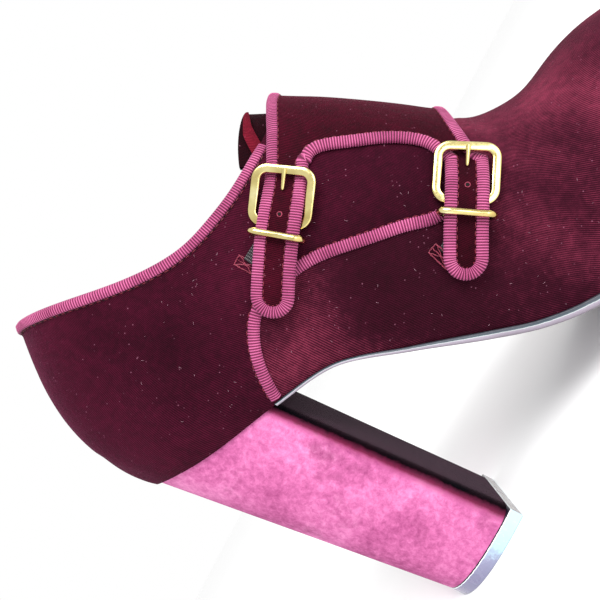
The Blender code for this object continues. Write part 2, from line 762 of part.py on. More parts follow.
def build_heel():
    """Covered block heel, from the top piece up to the seat."""
    steps = 9
    breast_cells = 4
    bottom = TIP_HEIGHT + GAP
    plan = d_outline(HEEL_SETBACK, HEEL_SETBACK + TIP_LENGTH, TIP_WIDTH / 2, steps)
    low = closed_ring(
        (HEEL_SETBACK, 0.0, bottom),
        [(x, -y, bottom) for x, y in plan],
        [(x, y, bottom) for x, y in plan],
        breast_cells,
    )

    def seat(x):
        return feather_height(x, -GAP)

    back = LAST.end(feather_height, -1, -HEEL_INSET)
    reach = BREAST_SETBACK - back
    places = [back + reach * max(heel_share(k, steps), SMALLEST_SHARE) for k in range(steps + 1)]
    rows = footprint(places, -HEEL_INSET, feather_height)
    tops = [(x, outer, inner, float(seat(x)[0])) for x, outer, inner in rows]
    high = closed_ring(
        (tops[0][0], 0.0, tops[0][3]),
        [(x, outer, z) for x, outer, _, z in tops[1:]],
        [(x, inner, z) for x, _, inner, z in tops[1:]],
        breast_cells,
    )
    rings = 6
    around = len(low)
    vertices = []
    for level in range(rings):
        share = level / (rings - 1)
        for a, b in zip(low, high):
            vertices.append(tuple(np.array(a) * (1 - share) + np.array(b) * share))
    faces = grid_faces(rings, around, wrap=True)
    faces.append(tuple(range(around)))
    top = (rings - 1) * around
    for k in range(1, steps - 1):
        faces.append((top + k, top + k + 1, top + around - k - 1, top + around - k))
    faces.append((top, top + 1, top + around - 1))
    faces.append(tuple(top + j for j in range(steps - 1, around - steps + 2)))
    return mesh_object("heel", vertices, faces, HEEL_VELVET)


def build_heel_tip():
    """Top piece under the heel block, with its lower edge taken off."""
    steps = 9
    half = TIP_WIDTH / 2
    front = HEEL_SETBACK + TIP_LENGTH
    levels = (
        (FLOOR, TIP_CHAMFER),
        (FLOOR + TIP_CHAMFER, 0.0),
        (FLOOR + TIP_HEIGHT, 0.0),
    )
    vertices = []
    for z, inset in levels:
        plan = d_outline(HEEL_SETBACK + inset, front - inset, half - inset, steps)
        vertices.append((HEEL_SETBACK + inset, 0.0, z))
        vertices += [(x, -y, z) for x, y in plan]
        vertices += [(x, y, z) for x, y in plan[::-1]]
    around = len(vertices) // len(levels)
    faces = grid_faces(len(levels), around, wrap=True)
    faces.append(tuple(range(around)))
    faces.append(tuple(2 * around + j for j in range(around)))
    return mesh_object("heel_tip", vertices, faces, TOP_PIECE)


def thickened(name, outer, inner, faces, surface):
    """Closed solid between two matching sheets of points that share the same faces."""
    count = len(outer)
    edges = {}
    for face in faces:
        for a, b in zip(face, face[1:] + face[:1]):
            edges[(a, b)] = True
    solid = list(faces)
    solid += [tuple(count + v for v in reversed(face)) for face in faces]
    for a, b in edges:
        if (b, a) not in edges:
            solid.append((b, a, count + a, count + b))
    return mesh_object(name, list(outer) + list(inner), solid, surface)


def build_tongue():
    """Tongue under the flap, lying inside the upper and rising past its throat."""
    rows = 11
    columns = 7
    alongs = [p.along for p in TONGUE_SPREAD]
    arounds = [p.around for p in TONGUE_SPREAD]
    outer = []
    inner = []
    for i in range(rows):
        for k in range(columns):
            side = 2 * k / (columns - 1) - 1
            top = TONGUE_TOP - TONGUE_TOP_DROP * side**2
            along = TONGUE_START + (top - TONGUE_START) * i / (rows - 1)
            around = side * float(np.interp(along, alongs, arounds))
            slack = TONGUE_SLACK * (i / (rows - 1)) ** 2
            depth = WALL + TONGUE_GAP + slack
            outer.append(LAST.at(along, around, -depth)[0])
            inner.append(LAST.at(along, around, -depth - TONGUE_THICKNESS)[0])
    return thickened("tongue", outer, inner, grid_faces(rows, columns), VELVET)


class Strap:
    """One strap of the flap: its path on the last, its lift and what is fitted on it."""

    def __init__(self, line, length, buckle_at, keeper_at):
        points = [LAST.at(p.along, p.around)[0] for p in line]
        dense = along_line(points, 200)
        travel = np.linalg.norm(np.diff(dense, axis=0), axis=1)
        self.travel = np.concatenate([[0.0], np.cumsum(travel)])
        self.dense = dense
        self.length = length
        self.buckle_at = buckle_at
        self.keeper_at = keeper_at
        self.half = STRAP_WIDTH / 2 - RIBBON_OVERHANG
        reach = (BUCKLE_LENGTH - BUCKLE_BAR) / 2
        self.top_bar_at = buckle_at - reach
        self.bottom_bar_at = buckle_at + reach
        self.top_rise = self.rise(self.top_bar_at, BUCKLE_WIDTH)
        self.bottom_rise = self.rise(self.bottom_bar_at, BUCKLE_WIDTH)
        self.keeper_rise = self.rise(keeper_at, KEEPER_WIDTH)

    def rise(self, distance, width):
        """Height that the last gains beside the strap, under a straight bar across it."""
        location, _, across, out = self.frame(distance)
        heights = [0.0]
        for share in (-0.5, -0.35, 0.35, 0.5):
            beside = LAST.snap(location + across * width * share)[0]
            heights.append(float(np.dot(beside - location, out)))
        return max(heights)

    def centre(self, distance):
        """Point of the centre line, which runs on straight before its start."""
        point = np.array([np.interp(distance, self.travel, axis) for axis in self.dense.T])
        if distance < 0:
            first = self.dense[1] - self.dense[0]
            point = point + first / np.linalg.norm(first) * distance
        return point

    def frame(self, distance):
        """Point on the last, and the directions along, across and out of the strap."""
        step = 1.0 * MM
        location, out = LAST.snap(self.centre(distance))
        along = self.centre(distance + step) - self.centre(distance - step)
        along -= out * np.dot(along, out)
        along /= np.linalg.norm(along)
        across = np.cross(out, along)
        return location, along, across, out

    def fitting_frame(self, distance):
        """Point, cross direction and outward direction for a metal loop, slightly askew."""
        location, along, across, out = self.frame(distance)
        turn = math.radians(FITTING_TURN)
        return location, across * math.cos(turn) + along * math.sin(turn), out

    def lift(self, distance):
        """Height of the strap's underside above the last."""
        places = [self.top_bar_at, self.bottom_bar_at, self.keeper_at, self.length]
        heights = [
            LIFT_LOW,
            LIFT_BAR + self.bottom_rise,
            LIFT_KEEPER + self.keeper_rise,
            LIFT_TIP,
        ]
        return float(steady_spline(places, heights, np.clip(distance, places[0], places[-1]))[0])

    def columns(self):
        """Distances of the strap's cross rows and their half widths, with a round tip."""
        body = self.length - RIBBON_OVERHANG - self.half
        count = max(3, round(body / (4.0 * MM)))
        rows = [(body * k / count, self.half) for k in range(1, count + 1)]
        for degrees in (25, 48, 66, 80):
            angle = math.radians(degrees)
            rows.append((body + self.half * math.sin(angle), self.half * math.cos(angle)))
        return rows

    def cross_row(self, distance, half, cells):
        """Points across the strap on its underside level, with their outward normals."""
        location, _, across, _ = self.frame(distance)
        lift = self.lift(distance)
        row = []
        for k in range(cells + 1):
            point = location - across * half * (1 - 2 * k / cells)
            row.append(LAST.snap(point, lift))
        return row


def flap_edge(line, around):
    """Place along the last of a flap edge at a distance around it."""
    arounds = [p.around for p in line][::-1]
    alongs = [p.along for p in line][::-1]
    return float(np.interp(abs(around), arounds, alongs))


def flap_seam(share):
    """Distance around the last of the flap's inner end, from its back edge to its front."""
    alongs = [p.along for p in FLAP_SEAM_LINE][::-1]
    arounds = [p.around for p in FLAP_SEAM_LINE][::-1]
    return float(np.interp(alongs[-1] + (alongs[0] - alongs[-1]) * share, alongs, arounds))


def nearest_place(point):
    """Place along and around the last that is nearest to a point on its outer side."""
    index = int(np.argmin(np.linalg.norm(LAST.flat_points - point, axis=1)))
    i, j = divmod(index, LAST.around)
    return i / (FINE_ALONG - 1), j / LAST.half_around


def build_flap():
    """Flap over the instep with its two straps, and the ordered edge that the ribbon binds."""
    strap_cells = 4
    gap_cells = 11
    bridge_cells = 6
    inner_cells = 9
    first = STRAP_1.cross_row(0.0, STRAP_1.half, strap_cells)
    last_root = []
    for k in range(strap_cells + 1):
        share = k / strap_cells
        corner, front = STRAP_2_ROOT
        place = [a * (1 - share) + b * share for a, b in zip(corner, front)]
        last_root.append(LAST.at(*place, LIFT_LOW))
    gap_path = along_line([LAST.at(p.along, p.around)[0] for p in GAP_LINE], gap_cells + 1)
    gap_points = [LAST.snap(p, LIFT_LOW) for p in gap_path[1:-1]]
    root = first + gap_points + last_root
    roots = [nearest_place(point) for point, _ in root]
    rows = len(root)

    points = []
    normals = []

    def add(point, normal):
        points.append(point)
        normals.append(normal)
        return len(points) - 1

    bridge = [[add(*place)] for place in root]
    shares = []
    for along, around in roots:
        back = flap_edge(FLAP_BACK_LINE, around)
        front = flap_edge(FLAP_FRONT_LINE, around)
        shares.append((along - back) / (front - back))
    shares[0] = 0.0
    shares[-1] = 1.0
    for row, (along, around) in enumerate(roots):
        share = shares[row]
        start = flap_edge(FLAP_BACK_LINE, around) * (1 - share)
        start += flap_edge(FLAP_FRONT_LINE, around) * share
        seam = flap_seam(share)
        for c in range(1, bridge_cells + inner_cells + 1):
            if c <= bridge_cells:
                left = 1 - c / bridge_cells
                turn = around * left
            else:
                left = 0.0
                turn = -seam * ((c - bridge_cells) / inner_cells) ** 1.3
            place = flap_edge(FLAP_BACK_LINE, turn) * (1 - share)
            place += flap_edge(FLAP_FRONT_LINE, turn) * share
            place += (along - start) * left**2
            bridge[row].append(add(*LAST.at(place, turn, LIFT_LOW)))

    faces = []
    for i in range(rows - 1):
        for c in range(bridge_cells + inner_cells):
            faces.append((bridge[i][c], bridge[i + 1][c], bridge[i + 1][c + 1], bridge[i][c + 1]))

    borders = []
    for strap, first_row in ((STRAP_1, 0), (STRAP_2, rows - strap_cells - 1)):
        previous = [bridge[first_row + k][0] for k in range(strap_cells + 1)]
        left_side = []
        right_side = []
        for distance, half in strap.columns():
            current = [add(*place) for place in strap.cross_row(distance, half, strap_cells)]
            for k in range(strap_cells):
                faces.append((current[k], current[k + 1], previous[k + 1], previous[k]))
            left_side.append(current[0])
            right_side.append(current[-1])
            previous = current
        borders.append(left_side + previous[1:-1] + right_side[::-1])

    edge = bridge[0][::-1] + borders[0]
    edge += [bridge[i][0] for i in range(strap_cells, rows - strap_cells)]
    edge += borders[1] + bridge[-1]
    outer = [p + n * STRAP_THICKNESS for p, n in zip(points, normals)]
    thickened("flap", outer, points, faces, VELVET)
    return [(points[i], normals[i]) for i in edge]


def path_headings(points):
    """Unit direction of travel at each point of a path."""
    steps = np.diff(points, axis=0)
    steps /= np.linalg.norm(steps, axis=1, keepdims=True)
    headings = np.vstack([steps[:1], steps[1:] + steps[:-1], steps[-1:]])
    return headings / np.linalg.norm(headings, axis=1, keepdims=True)


def ribbon_faces(count, size, end):
    """Faces of a ribbon of rings, with both ends closed by the given faces of one ring."""
    faces = grid_faces(count, size, wrap=True)
    for first in (0, (count - 1) * size):
        faces += [tuple(first + j for j in face) for face in end]
    return faces


def ribbon(name, path, profile, outward_sign):
    """Ribbon with a given cross profile, with one ring at each point of the bound edge."""
    points = np.array([point for point, _ in path])
    normals = np.array([normal for _, normal in path])
    headings = path_headings(points)
    outward = np.cross(headings, normals) * outward_sign
    outward /= np.linalg.norm(outward, axis=1, keepdims=True)
    vertices = []
    for point, out, side in zip(points, normals, outward):
        for across, height in profile:
            vertices.append(point + side * across + out * height)
    mesh_object(name, vertices, ribbon_faces(len(points), len(profile), FOLDED_END), RIBBON)


def folded_profile(thickness):
    """Ribbon over the face and round the edge of a layer that lies on another."""
    face = thickness + GAP
    top = face + RIBBON_THICKNESS
    inside = RIBBON_OVERHANG - RIBBON_WIDTH
    return [
        (inside, face),
        (inside + 0.3 * RIBBON_THICKNESS, top),
        (0.0, top),
        (0.8 * RIBBON_OVERHANG, face),
        (RIBBON_OVERHANG, GAP),
        (GAP, GAP),
        (GAP, face),
    ]


def rim_of_wall(point, normal, side):
    """Outer and inner corners of the collar's rim, which is cut level across the shoe."""
    if normal[0] < 0 and abs(normal[1]) < LEVEL_RIM_FROM:
        return point + normal * QUARTER_STEP, point - normal * WALL
    corners = []
    for offset in (QUARTER_STEP, -WALL):
        y = LAST.side(point[0], point[2], side, offset)
        corners.append(np.array([point[0], y, point[2]]))
    return corners


def build_collar_ribbon():
    """Ribbon folded over the collar, from the flap on the outer side to the inner side."""
    end = LAST.at(*COLLAR_RIBBON_END)[0]
    line = [p for p in line_on_last(COLLAR_LINE, COLLAR_STEPS) if p[0] < end[0]]
    places = [(*on_side(p, -1), -1) for p in line[::-1]]
    places += [(*on_side(p, 1), 1) for p in line[1:]]
    points = np.array([point for point, _, _ in places])
    headings = path_headings(points)
    leg = RIBBON_WIDTH - RIBBON_OVERHANG
    inner_leg = LINING_LEG_SHARE * leg
    soft = 0.4 * RIBBON_THICKNESS
    vertices = []
    for (point, normal, side), heading in zip(places, headings):
        up = np.cross(heading, normal)
        up /= np.linalg.norm(up)
        rise = np.array([up[0], 0.0, up[2]])
        rise /= np.linalg.norm(rise)
        outside, inside = rim_of_wall(point, normal, side)
        face = outside + normal * GAP
        lining = inside - normal * LINING_GAP
        top = rise * RIBBON_OVERHANG
        thick = normal * RIBBON_THICKNESS
        vertices += [
            face - up * leg,
            face - up * leg + thick * 0.6,
            face - up * (leg - soft) + thick,
            face + thick,
            face + top,
            lining + top,
            lining - thick,
            lining - thick - up * inner_leg,
            lining - up * inner_leg,
            lining + rise * RIM_GAP,
            face + rise * RIM_GAP,
        ]
    size = len(vertices) // len(places)
    mesh_object("collar_ribbon", vertices, ribbon_faces(len(places), size, COLLAR_END), RIBBON)


def build_quarter_ribbons():
    """Ribbon down the front edge of each quarter, from under the strap to the sole."""
    for name, side, last_place in (
        ("quarter_ribbon_outer", -1, QUARTER_RIBBON_END),
        ("quarter_ribbon_inner", 1, QUARTER_RIBBON_INNER_END),
    ):
        end = LAST.at(*last_place)[0]
        path = []
        for point in line_on_last(QUARTER_LINE, QUARTER_STEPS):
            sole = float(feather_height(point[0])[0])
            if point[0] < end[0] and point[2] > sole + 2 * GAP:
                path.append(on_side(point, side))
        ribbon(name, path, folded_profile(QUARTER_STEP), -side)


def placed(made, origin, across, out):
    """Set an object down with its Y along the strap and its Z out of it."""
    axes = Matrix((-across, np.cross(across, out), out)).transposed().to_4x4()
    made.matrix_world = Matrix.Translation(Vector(origin)) @ axes


def rounded_rectangle(width, length, corner, corner_steps):
    """Points around a rectangle with round corners, centred on its middle."""
    points = []
    centres = (
        (width / 2 - corner, length / 2 - corner, 0),
        (corner - width / 2, length / 2 - corner, 90),
        (corner - width / 2, corner - length / 2, 180),
        (width / 2 - corner, corner - length / 2, 270),
    )
    for x, y, start in centres:
        for k in range(corner_steps + 1):
            angle = math.radians(start + 90 * k / corner_steps)
            points.append((x + corner * math.cos(angle), y + corner * math.sin(angle)))
    return points


def curve_loop(name, points, group):
    """Closed curve through straight stretches between points."""
    curve = bpy.data.curves.new(name, "CURVE")
    curve.dimensions = "3D"
    curve.twist_mode = "Z_UP"
    spline = curve.splines.new("POLY")
    spline.points.add(len(points) - 1)
    for slot, point in zip(spline.points, points):
        slot.co = (*point, 1.0)
    spline.use_cyclic_u = True
    made = bpy.data.objects.new(name, curve)
    group.objects.link(made)
    return made


def build_buckle(name, strap):
    """Rounded frame with a short prong on its upper bar. The strap passes under that bar."""
    path = rounded_rectangle(
        BUCKLE_WIDTH - BUCKLE_BAR,
        BUCKLE_LENGTH - BUCKLE_BAR,
        BUCKLE_CORNER - BUCKLE_BAR / 2,
        3,
    )
    frame = curve_loop(name + " path", [(x, y, 0.0) for x, y in path], CUTTERS)
    section = rounded_rectangle(BUCKLE_BAR, BUCKLE_THICKNESS, 0.5 * MM, 2)
    bar = curve_loop(name + " bar section", [(x, y, 0.0) for x, y in section], CUTTERS)
    bar.data.dimensions = "2D"
    cutter(bar)
    frame.data.bevel_mode = "OBJECT"
    frame.data.bevel_object = bar
    graph = bpy.context.evaluated_depsgraph_get()
    mesh = bpy.data.meshes.new_from_object(frame.evaluated_get(graph))
    bpy.data.objects.remove(frame)
    shape = bmesh.new()
    shape.from_mesh(mesh)
    bmesh.ops.remove_doubles(shape, verts=shape.verts, dist=0.001 * MM)
    bmesh.ops.recalc_face_normals(shape, faces=shape.faces)
    shape.to_mesh(mesh)
    shape.free()
    body = bpy.data.objects.new(name + " frame", mesh)
    CUTTERS.objects.link(body)
    cutter(body)

    shape = bmesh.new()
    reach = PRONG_LENGTH + BUCKLE_BAR / 2
    bmesh.ops.create_cone(
        shape, cap_ends=True, segments=10,
        radius1=PRONG_RADIUS, radius2=0.5 * PRONG_RADIUS, depth=reach,
    )
    prong_mesh = bpy.data.meshes.new(name + " prong")
    top_bar = -(BUCKLE_LENGTH - BUCKLE_BAR) / 2
    turn = Matrix.Translation((0, top_bar + reach / 2, 0.5 * BUCKLE_THICKNESS))
    turn = turn @ Matrix.Rotation(math.radians(-90), 4, "X")
    bmesh.ops.transform(shape, matrix=turn, verts=shape.verts)
    shape.to_mesh(prong_mesh)
    shape.free()
    prong = bpy.data.objects.new(name + " prong", prong_mesh)
    CUTTERS.objects.link(prong)
    combine(body, cutter(prong), "UNION")
    made = settled(body, name, GOLD)

    high = LIFT_LOW + BOUND_THICKNESS + 3 * GAP + strap.top_rise
    low = LIFT_LOW + strap.bottom_rise
    upper_point, _, _, upper_out = strap.frame(strap.top_bar_at)
    lower_point, _, _, lower_out = strap.frame(strap.bottom_bar_at)
    upper_point = upper_point + upper_out * (high + BUCKLE_THICKNESS / 2)
    lower_point = lower_point + lower_out * (low + BUCKLE_THICKNESS / 2)
    along = lower_point - upper_point
    along /= np.linalg.norm(along)
    _, _, across, _ = strap.frame(strap.buckle_at)
    across = across - along * np.dot(across, along)
    across /= np.linalg.norm(across)
    out = np.cross(along, across)
    turn = math.radians(FITTING_TURN)
    turned = across * math.cos(turn) + along * math.sin(turn)
    placed(made, (upper_point + lower_point) / 2, turned, out)


def build_keeper(name, strap):
    """Wire loop round the strap below the buckle."""
    point, across, out = strap.fitting_frame(strap.keeper_at)
    low = LIFT_KEEPER + strap.keeper_rise - GAP - KEEPER_WIRE / 2
    high = LIFT_KEEPER + strap.keeper_rise + BOUND_THICKNESS + 2 * GAP + KEEPER_WIRE / 2
    tall = high - low
    path = rounded_rectangle(KEEPER_WIDTH - KEEPER_WIRE, tall, 0.32 * tall, 3)
    wire = curve_loop(name, [(x, 0.0, y) for x, y in path], BOOT)
    wire.data.bevel_depth = KEEPER_WIRE / 2
    wire.data.bevel_resolution = 2
    wire.data.twist_mode = "MINIMUM"
    wire.data.materials.append(GOLD)
    placed(wire, point + out * (low + high) / 2, across, out)


def build_elastic(name, start_line, end_line, end_lift):
    """Elastic tab from under the buckle's lower bar to its stitched end on the wall."""
    rows = 6
    columns = 4
    start = [LAST.at(p.along, p.around)[0] for p in start_line]
    stop = [LAST.at(p.along, p.around)[0] for p in end_line]
    outer = []
    inner = []
    for i in range(rows):
        share = i / (rows - 1)
        lift = LIFT_LOW + (end_lift - LIFT_LOW) * max(0.0, (share - 0.4) / 0.6)
        for k in range(columns):
            side = k / (columns - 1)
            near = start[0] * (1 - side) + start[1] * side
            far = stop[0] * (1 - side) + stop[1] * side
            point = near * (1 - share) + far * share
            inner.append(LAST.snap(point, lift)[0])
            outer.append(LAST.snap(point, lift + ELASTIC_THICKNESS)[0])
    thickened(name, outer, inner, grid_faces(rows, columns), ELASTIC)


def centre_on_floor():
    """Move the whole boot so that its footprint is centred on the origin."""
    bpy.context.view_layer.update()
    graph = bpy.context.evaluated_depsgraph_get()
    low = Vector((1e9, 1e9, 1e9))
    high = -low
    for part in BOOT.objects:
        mesh = part.evaluated_get(graph).to_mesh()
        for vertex in mesh.vertices:
            place = part.matrix_world @ vertex.co
            low = Vector(map(min, low, place))
            high = Vector(map(max, high, place))
        part.evaluated_get(graph).to_mesh_clear()
    shift = Vector((-(low.x + high.x) / 2, -(low.y + high.y) / 2, -low.z))
    for part in BOOT.objects:
        part.matrix_world = Matrix.Translation(shift) @ part.matrix_world
    return shift


for old in list(bpy.data.objects):
    bpy.data.objects.remove(old)

BOOT = collection_for("ankle_boot")
CUTTERS = collection_for("cutters")

VELVET = material("velvet", (0.085, 0.010, 0.028), 0.75)
HEEL_VELVET = material("heel velvet", (0.42, 0.07, 0.22), 0.6)
RIBBON = material("ribbon", (0.38, 0.05, 0.18), 0.65)
GOLD = material("gilt metal", (0.90, 0.74, 0.32), 0.25, 1.0)
SOLE_LEATHER = material("sole leather", (0.06, 0.055, 0.065), 0.45)
TOP_PIECE = material("top piece", (0.16, 0.20, 0.24), 0.35)
LINING = material("lining", (0.02, 0.018, 0.022), 0.8)
ELASTIC = material("elastic", (0.06, 0.055, 0.06), 0.85)

STRAP_1 = Strap(STRAP_1_LINE, STRAP_1_LENGTH, STRAP_1_BUCKLE, STRAP_1_KEEPER)
STRAP_2 = Strap(STRAP_2_LINE, STRAP_2_LENGTH, STRAP_2_BUCKLE, STRAP_2_KEEPER)

build_upper()
build_outsole()
build_insole()
build_heel()
build_heel_tip()
build_tongue()
ribbon("flap_ribbon", build_flap(), folded_profile(STRAP_THICKNESS), 1)
build_collar_ribbon()
build_quarter_ribbons()
build_buckle("buckle_back", STRAP_1)
build_buckle("buckle_front", STRAP_2)
build_keeper("keeper_back", STRAP_1)
build_keeper("keeper_front", STRAP_2)
build_elastic("elastic_back", ELASTIC_1_START, ELASTIC_1_END, LIFT_LOW)
build_elastic("elastic_front", ELASTIC_2_START, ELASTIC_2_END, GAP)
SHIFT = centre_on_floor()
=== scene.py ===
"""Looks of the velvet monk-strap ankle boot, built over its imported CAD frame.

Every soft piece is laid on the last, the same form that the CAD pieces lie on, in a finer grid.
X runs from the heel to the toe, Y from the outer side to the inner side and Z up.
"""

import math
import random
from collections import namedtuple

import bmesh
import bpy
import numpy as np
from mathutils import Matrix, Vector
from mathutils.bvhtree import BVHTree
from mathutils.kdtree import KDTree


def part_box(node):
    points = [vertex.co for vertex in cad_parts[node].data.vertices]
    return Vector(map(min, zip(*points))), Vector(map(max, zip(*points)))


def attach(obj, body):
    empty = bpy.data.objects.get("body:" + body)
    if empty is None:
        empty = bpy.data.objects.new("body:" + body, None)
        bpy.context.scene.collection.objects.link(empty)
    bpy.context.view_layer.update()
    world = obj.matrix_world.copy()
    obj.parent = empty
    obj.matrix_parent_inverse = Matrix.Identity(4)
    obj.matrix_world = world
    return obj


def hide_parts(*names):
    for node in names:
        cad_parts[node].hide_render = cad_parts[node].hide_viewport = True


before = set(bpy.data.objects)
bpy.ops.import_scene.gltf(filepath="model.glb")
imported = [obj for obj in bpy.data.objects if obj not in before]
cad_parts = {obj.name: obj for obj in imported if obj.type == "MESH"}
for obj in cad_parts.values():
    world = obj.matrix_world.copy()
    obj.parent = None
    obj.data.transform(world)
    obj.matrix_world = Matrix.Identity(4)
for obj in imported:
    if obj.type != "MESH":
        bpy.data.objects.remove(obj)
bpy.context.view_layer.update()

MM = 0.001

# Main sizes of the shoe
LENGTH = 230.5 * MM
BALL_WIDTH = 82.0 * MM
HEEL_RISE = 103.0 * MM
ANKLE_HEIGHT = 62.0 * MM
TOE_SPRING = 10.0 * MM

# Thicknesses and the clearance between pieces
GAP = 0.3 * MM
WALL = 2.0 * MM
QUARTER_STEP = 0.7 * MM
SOLE_THICKNESS = 3.3 * MM
WAIST_THICKNESS = 1.2 * MM
SOLE_MARGIN = 0.8 * MM
INSOLE_THICKNESS = 2.0 * MM
TONGUE_THICKNESS = 1.5 * MM
TONGUE_GAP = 0.5 * MM
TONGUE_SLACK = 1.3 * MM
STRAP_THICKNESS = 1.2 * MM
ELASTIC_THICKNESS = 0.5 * MM

# Heel block and its top piece
TIP_LENGTH = 33.5 * MM
TIP_WIDTH = 40.0 * MM
TIP_HEIGHT = 4.7 * MM
HEEL_SETBACK = 17.5 * MM
BREAST_SETBACK = 46.0 * MM
HEEL_NOSE_BOW = 2.5
HEEL_INSET = 0.3 * MM
HEEL_CLEARANCE = 0.05 * MM
BREAST_ROUNDING = 6.0 * MM

# Ribbon that binds every edge
RIBBON_WIDTH = 3.2 * MM
RIBBON_THICKNESS = 0.6 * MM
RIBBON_OVERHANG = 1.0 * MM
LINING_GAP = 0.7 * MM
LINING_LEG_SHARE = 0.7
LEVEL_RIM_FROM = 0.7

# Straps and their fittings
STRAP_WIDTH = 12.0 * MM
STRAP_1_LENGTH = 44.0 * MM
STRAP_2_LENGTH = 33.5 * MM
BUCKLE_LENGTH = 17.5 * MM
BUCKLE_WIDTH = 18.4 * MM
BUCKLE_BAR = 2.5 * MM
BUCKLE_THICKNESS = 1.8 * MM
BUCKLE_CORNER = 4.4 * MM
PRONG_LENGTH = 4.6 * MM
PRONG_RADIUS = 0.75 * MM
KEEPER_WIRE = 1.9 * MM
KEEPER_WIDTH = 16.4 * MM
FITTING_TURN = 3.0
STRAP_1_BUCKLE = 11.0 * MM
STRAP_1_KEEPER = 21.8 * MM
STRAP_2_BUCKLE = 5.6 * MM
STRAP_2_KEEPER = 16.4 * MM

# Heights of the layers above the last
BOUND_THICKNESS = STRAP_THICKNESS + GAP + RIBBON_THICKNESS
LIFT_LOW = QUARTER_STEP + GAP
LIFT_BAR = LIFT_LOW + BUCKLE_THICKNESS + 3 * GAP
LIFT_KEEPER = LIFT_LOW + ELASTIC_THICKNESS + KEEPER_WIRE + 2 * GAP
LIFT_TIP = LIFT_LOW + RIBBON_THICKNESS + 2 * GAP

# Each row is one section of the last, from the toe to the top of the ankle.
# front and back are the ends of the section in the middle plane. Their x is a share of LENGTH,
# rise is a share of HEEL_RISE and up is a share of ANKLE_HEIGHT.
# half and shift are shares of half the ball width, mid is where the section is widest,
# skew turns it about the upright, and front_bow and back_bow are its two curve exponents.
Section = namedtuple(
    "Section",
    "front_x front_rise front_up back_x back_rise back_up half shift mid skew front_bow back_bow",
)
SECTIONS = [
    Section(1.000, 0.00, 0.274, 1.000, 0.00, 0.272, 0.012, 0.110, 0.50, 0.00, 2.0, 2.0),
    Section(0.994, 0.00, 0.385, 0.996, 0.00, 0.105, 0.207, 0.110, 0.50, 0.00, 2.0, 2.6),
    Section(0.976, 0.00, 0.510, 0.983, 0.00, 0.065, 0.402, 0.102, 0.45, 0.02, 2.1, 3.0),
    Section(0.946, 0.00, 0.634, 0.957, 0.00, 0.032, 0.573, 0.093, 0.40, 0.04, 2.1, 3.4),
    Section(0.905, 0.00, 0.733, 0.918, 0.00, 0.003, 0.720, 0.080, 0.36, 0.07, 2.1, 3.6),
    Section(0.853, 0.00, 0.829, 0.861, 0.00, -0.029, 0.841, 0.068, 0.33, 0.10, 2.1, 3.8),
    Section(0.796, 0.00, 0.888, 0.800, 0.00, -0.052, 0.932, 0.049, 0.31, 0.15, 2.1, 3.8),
    Section(0.740, 0.00, 0.924, 0.733, 0.00, -0.060, 0.990, 0.034, 0.31, 0.20, 2.1, 3.8),
    Section(0.701, 0.00, 0.993, 0.666, 0.00, -0.056, 1.005, 0.024, 0.33, 0.24, 2.1, 3.6),
    Section(0.672, 0.10, 0.912, 0.597, 0.02, -0.053, 0.976, 0.010, 0.36, 0.24, 2.1, 3.6),
    Section(0.655, 0.20, 0.840, 0.527, 0.08, -0.060, 0.915, -0.005, 0.40, 0.20, 2.1, 3.4),
    Section(0.639, 0.30, 0.801, 0.458, 0.20, -0.122, 0.849, -0.015, 0.44, 0.14, 2.1, 3.2),
    Section(0.623, 0.40, 0.780, 0.395, 0.37, -0.130, 0.795, -0.020, 0.47, 0.08, 2.1, 3.0),
    Section(0.601, 0.50, 0.808, 0.334, 0.52, -0.122, 0.761, -0.020, 0.49, 0.04, 2.1, 3.0),
    Section(0.580, 0.60, 0.820, 0.271, 0.665, -0.121, 0.737, -0.015, 0.50, 0.02, 2.1, 3.0),
    Section(0.563, 0.67, 0.835, 0.193, 0.775, -0.118, 0.722, -0.007, 0.50, 0.00, 2.1, 3.0),
    Section(0.550, 0.72, 0.860, 0.104, 0.865, -0.106, 0.707, 0.000, 0.50, 0.00, 2.1, 2.9),
    Section(0.541, 0.75, 0.876, 0.045, 0.930, -0.077, 0.695, 0.000, 0.50, 0.00, 2.1, 2.6),
    Section(0.536, 0.77, 0.882, 0.018, 0.970, -0.015, 0.688, 0.000, 0.50, 0.00, 2.1, 2.3),
    Section(0.532, 0.78, 0.898, 0.008, 1.00, 0.065, 0.678, 0.000, 0.50, 0.00, 2.1, 2.1),
    Section(0.529, 0.79, 0.913, 0.007, 1.00, 0.226, 0.671, 0.000, 0.50, 0.00, 2.1, 2.0),
    Section(0.525, 0.80, 0.937, 0.016, 1.00, 0.403, 0.668, 0.000, 0.50, 0.00, 2.1, 2.0),
    Section(0.521, 0.81, 0.969, 0.041, 1.00, 0.613, 0.678, 0.000, 0.50, 0.00, 2.1, 2.0),
    Section(0.514, 0.83, 0.992, 0.074, 1.00, 0.782, 0.693, 0.000, 0.50, 0.00, 2.1, 2.0),
    Section(0.508, 0.85, 1.015, 0.107, 1.00, 0.919, 0.707, 0.000, 0.50, 0.00, 2.1, 2.0),
    Section(0.500, 0.87, 1.039, 0.141, 1.00, 1.056, 0.720, 0.000, 0.50, 0.00, 2.1, 2.0),
]

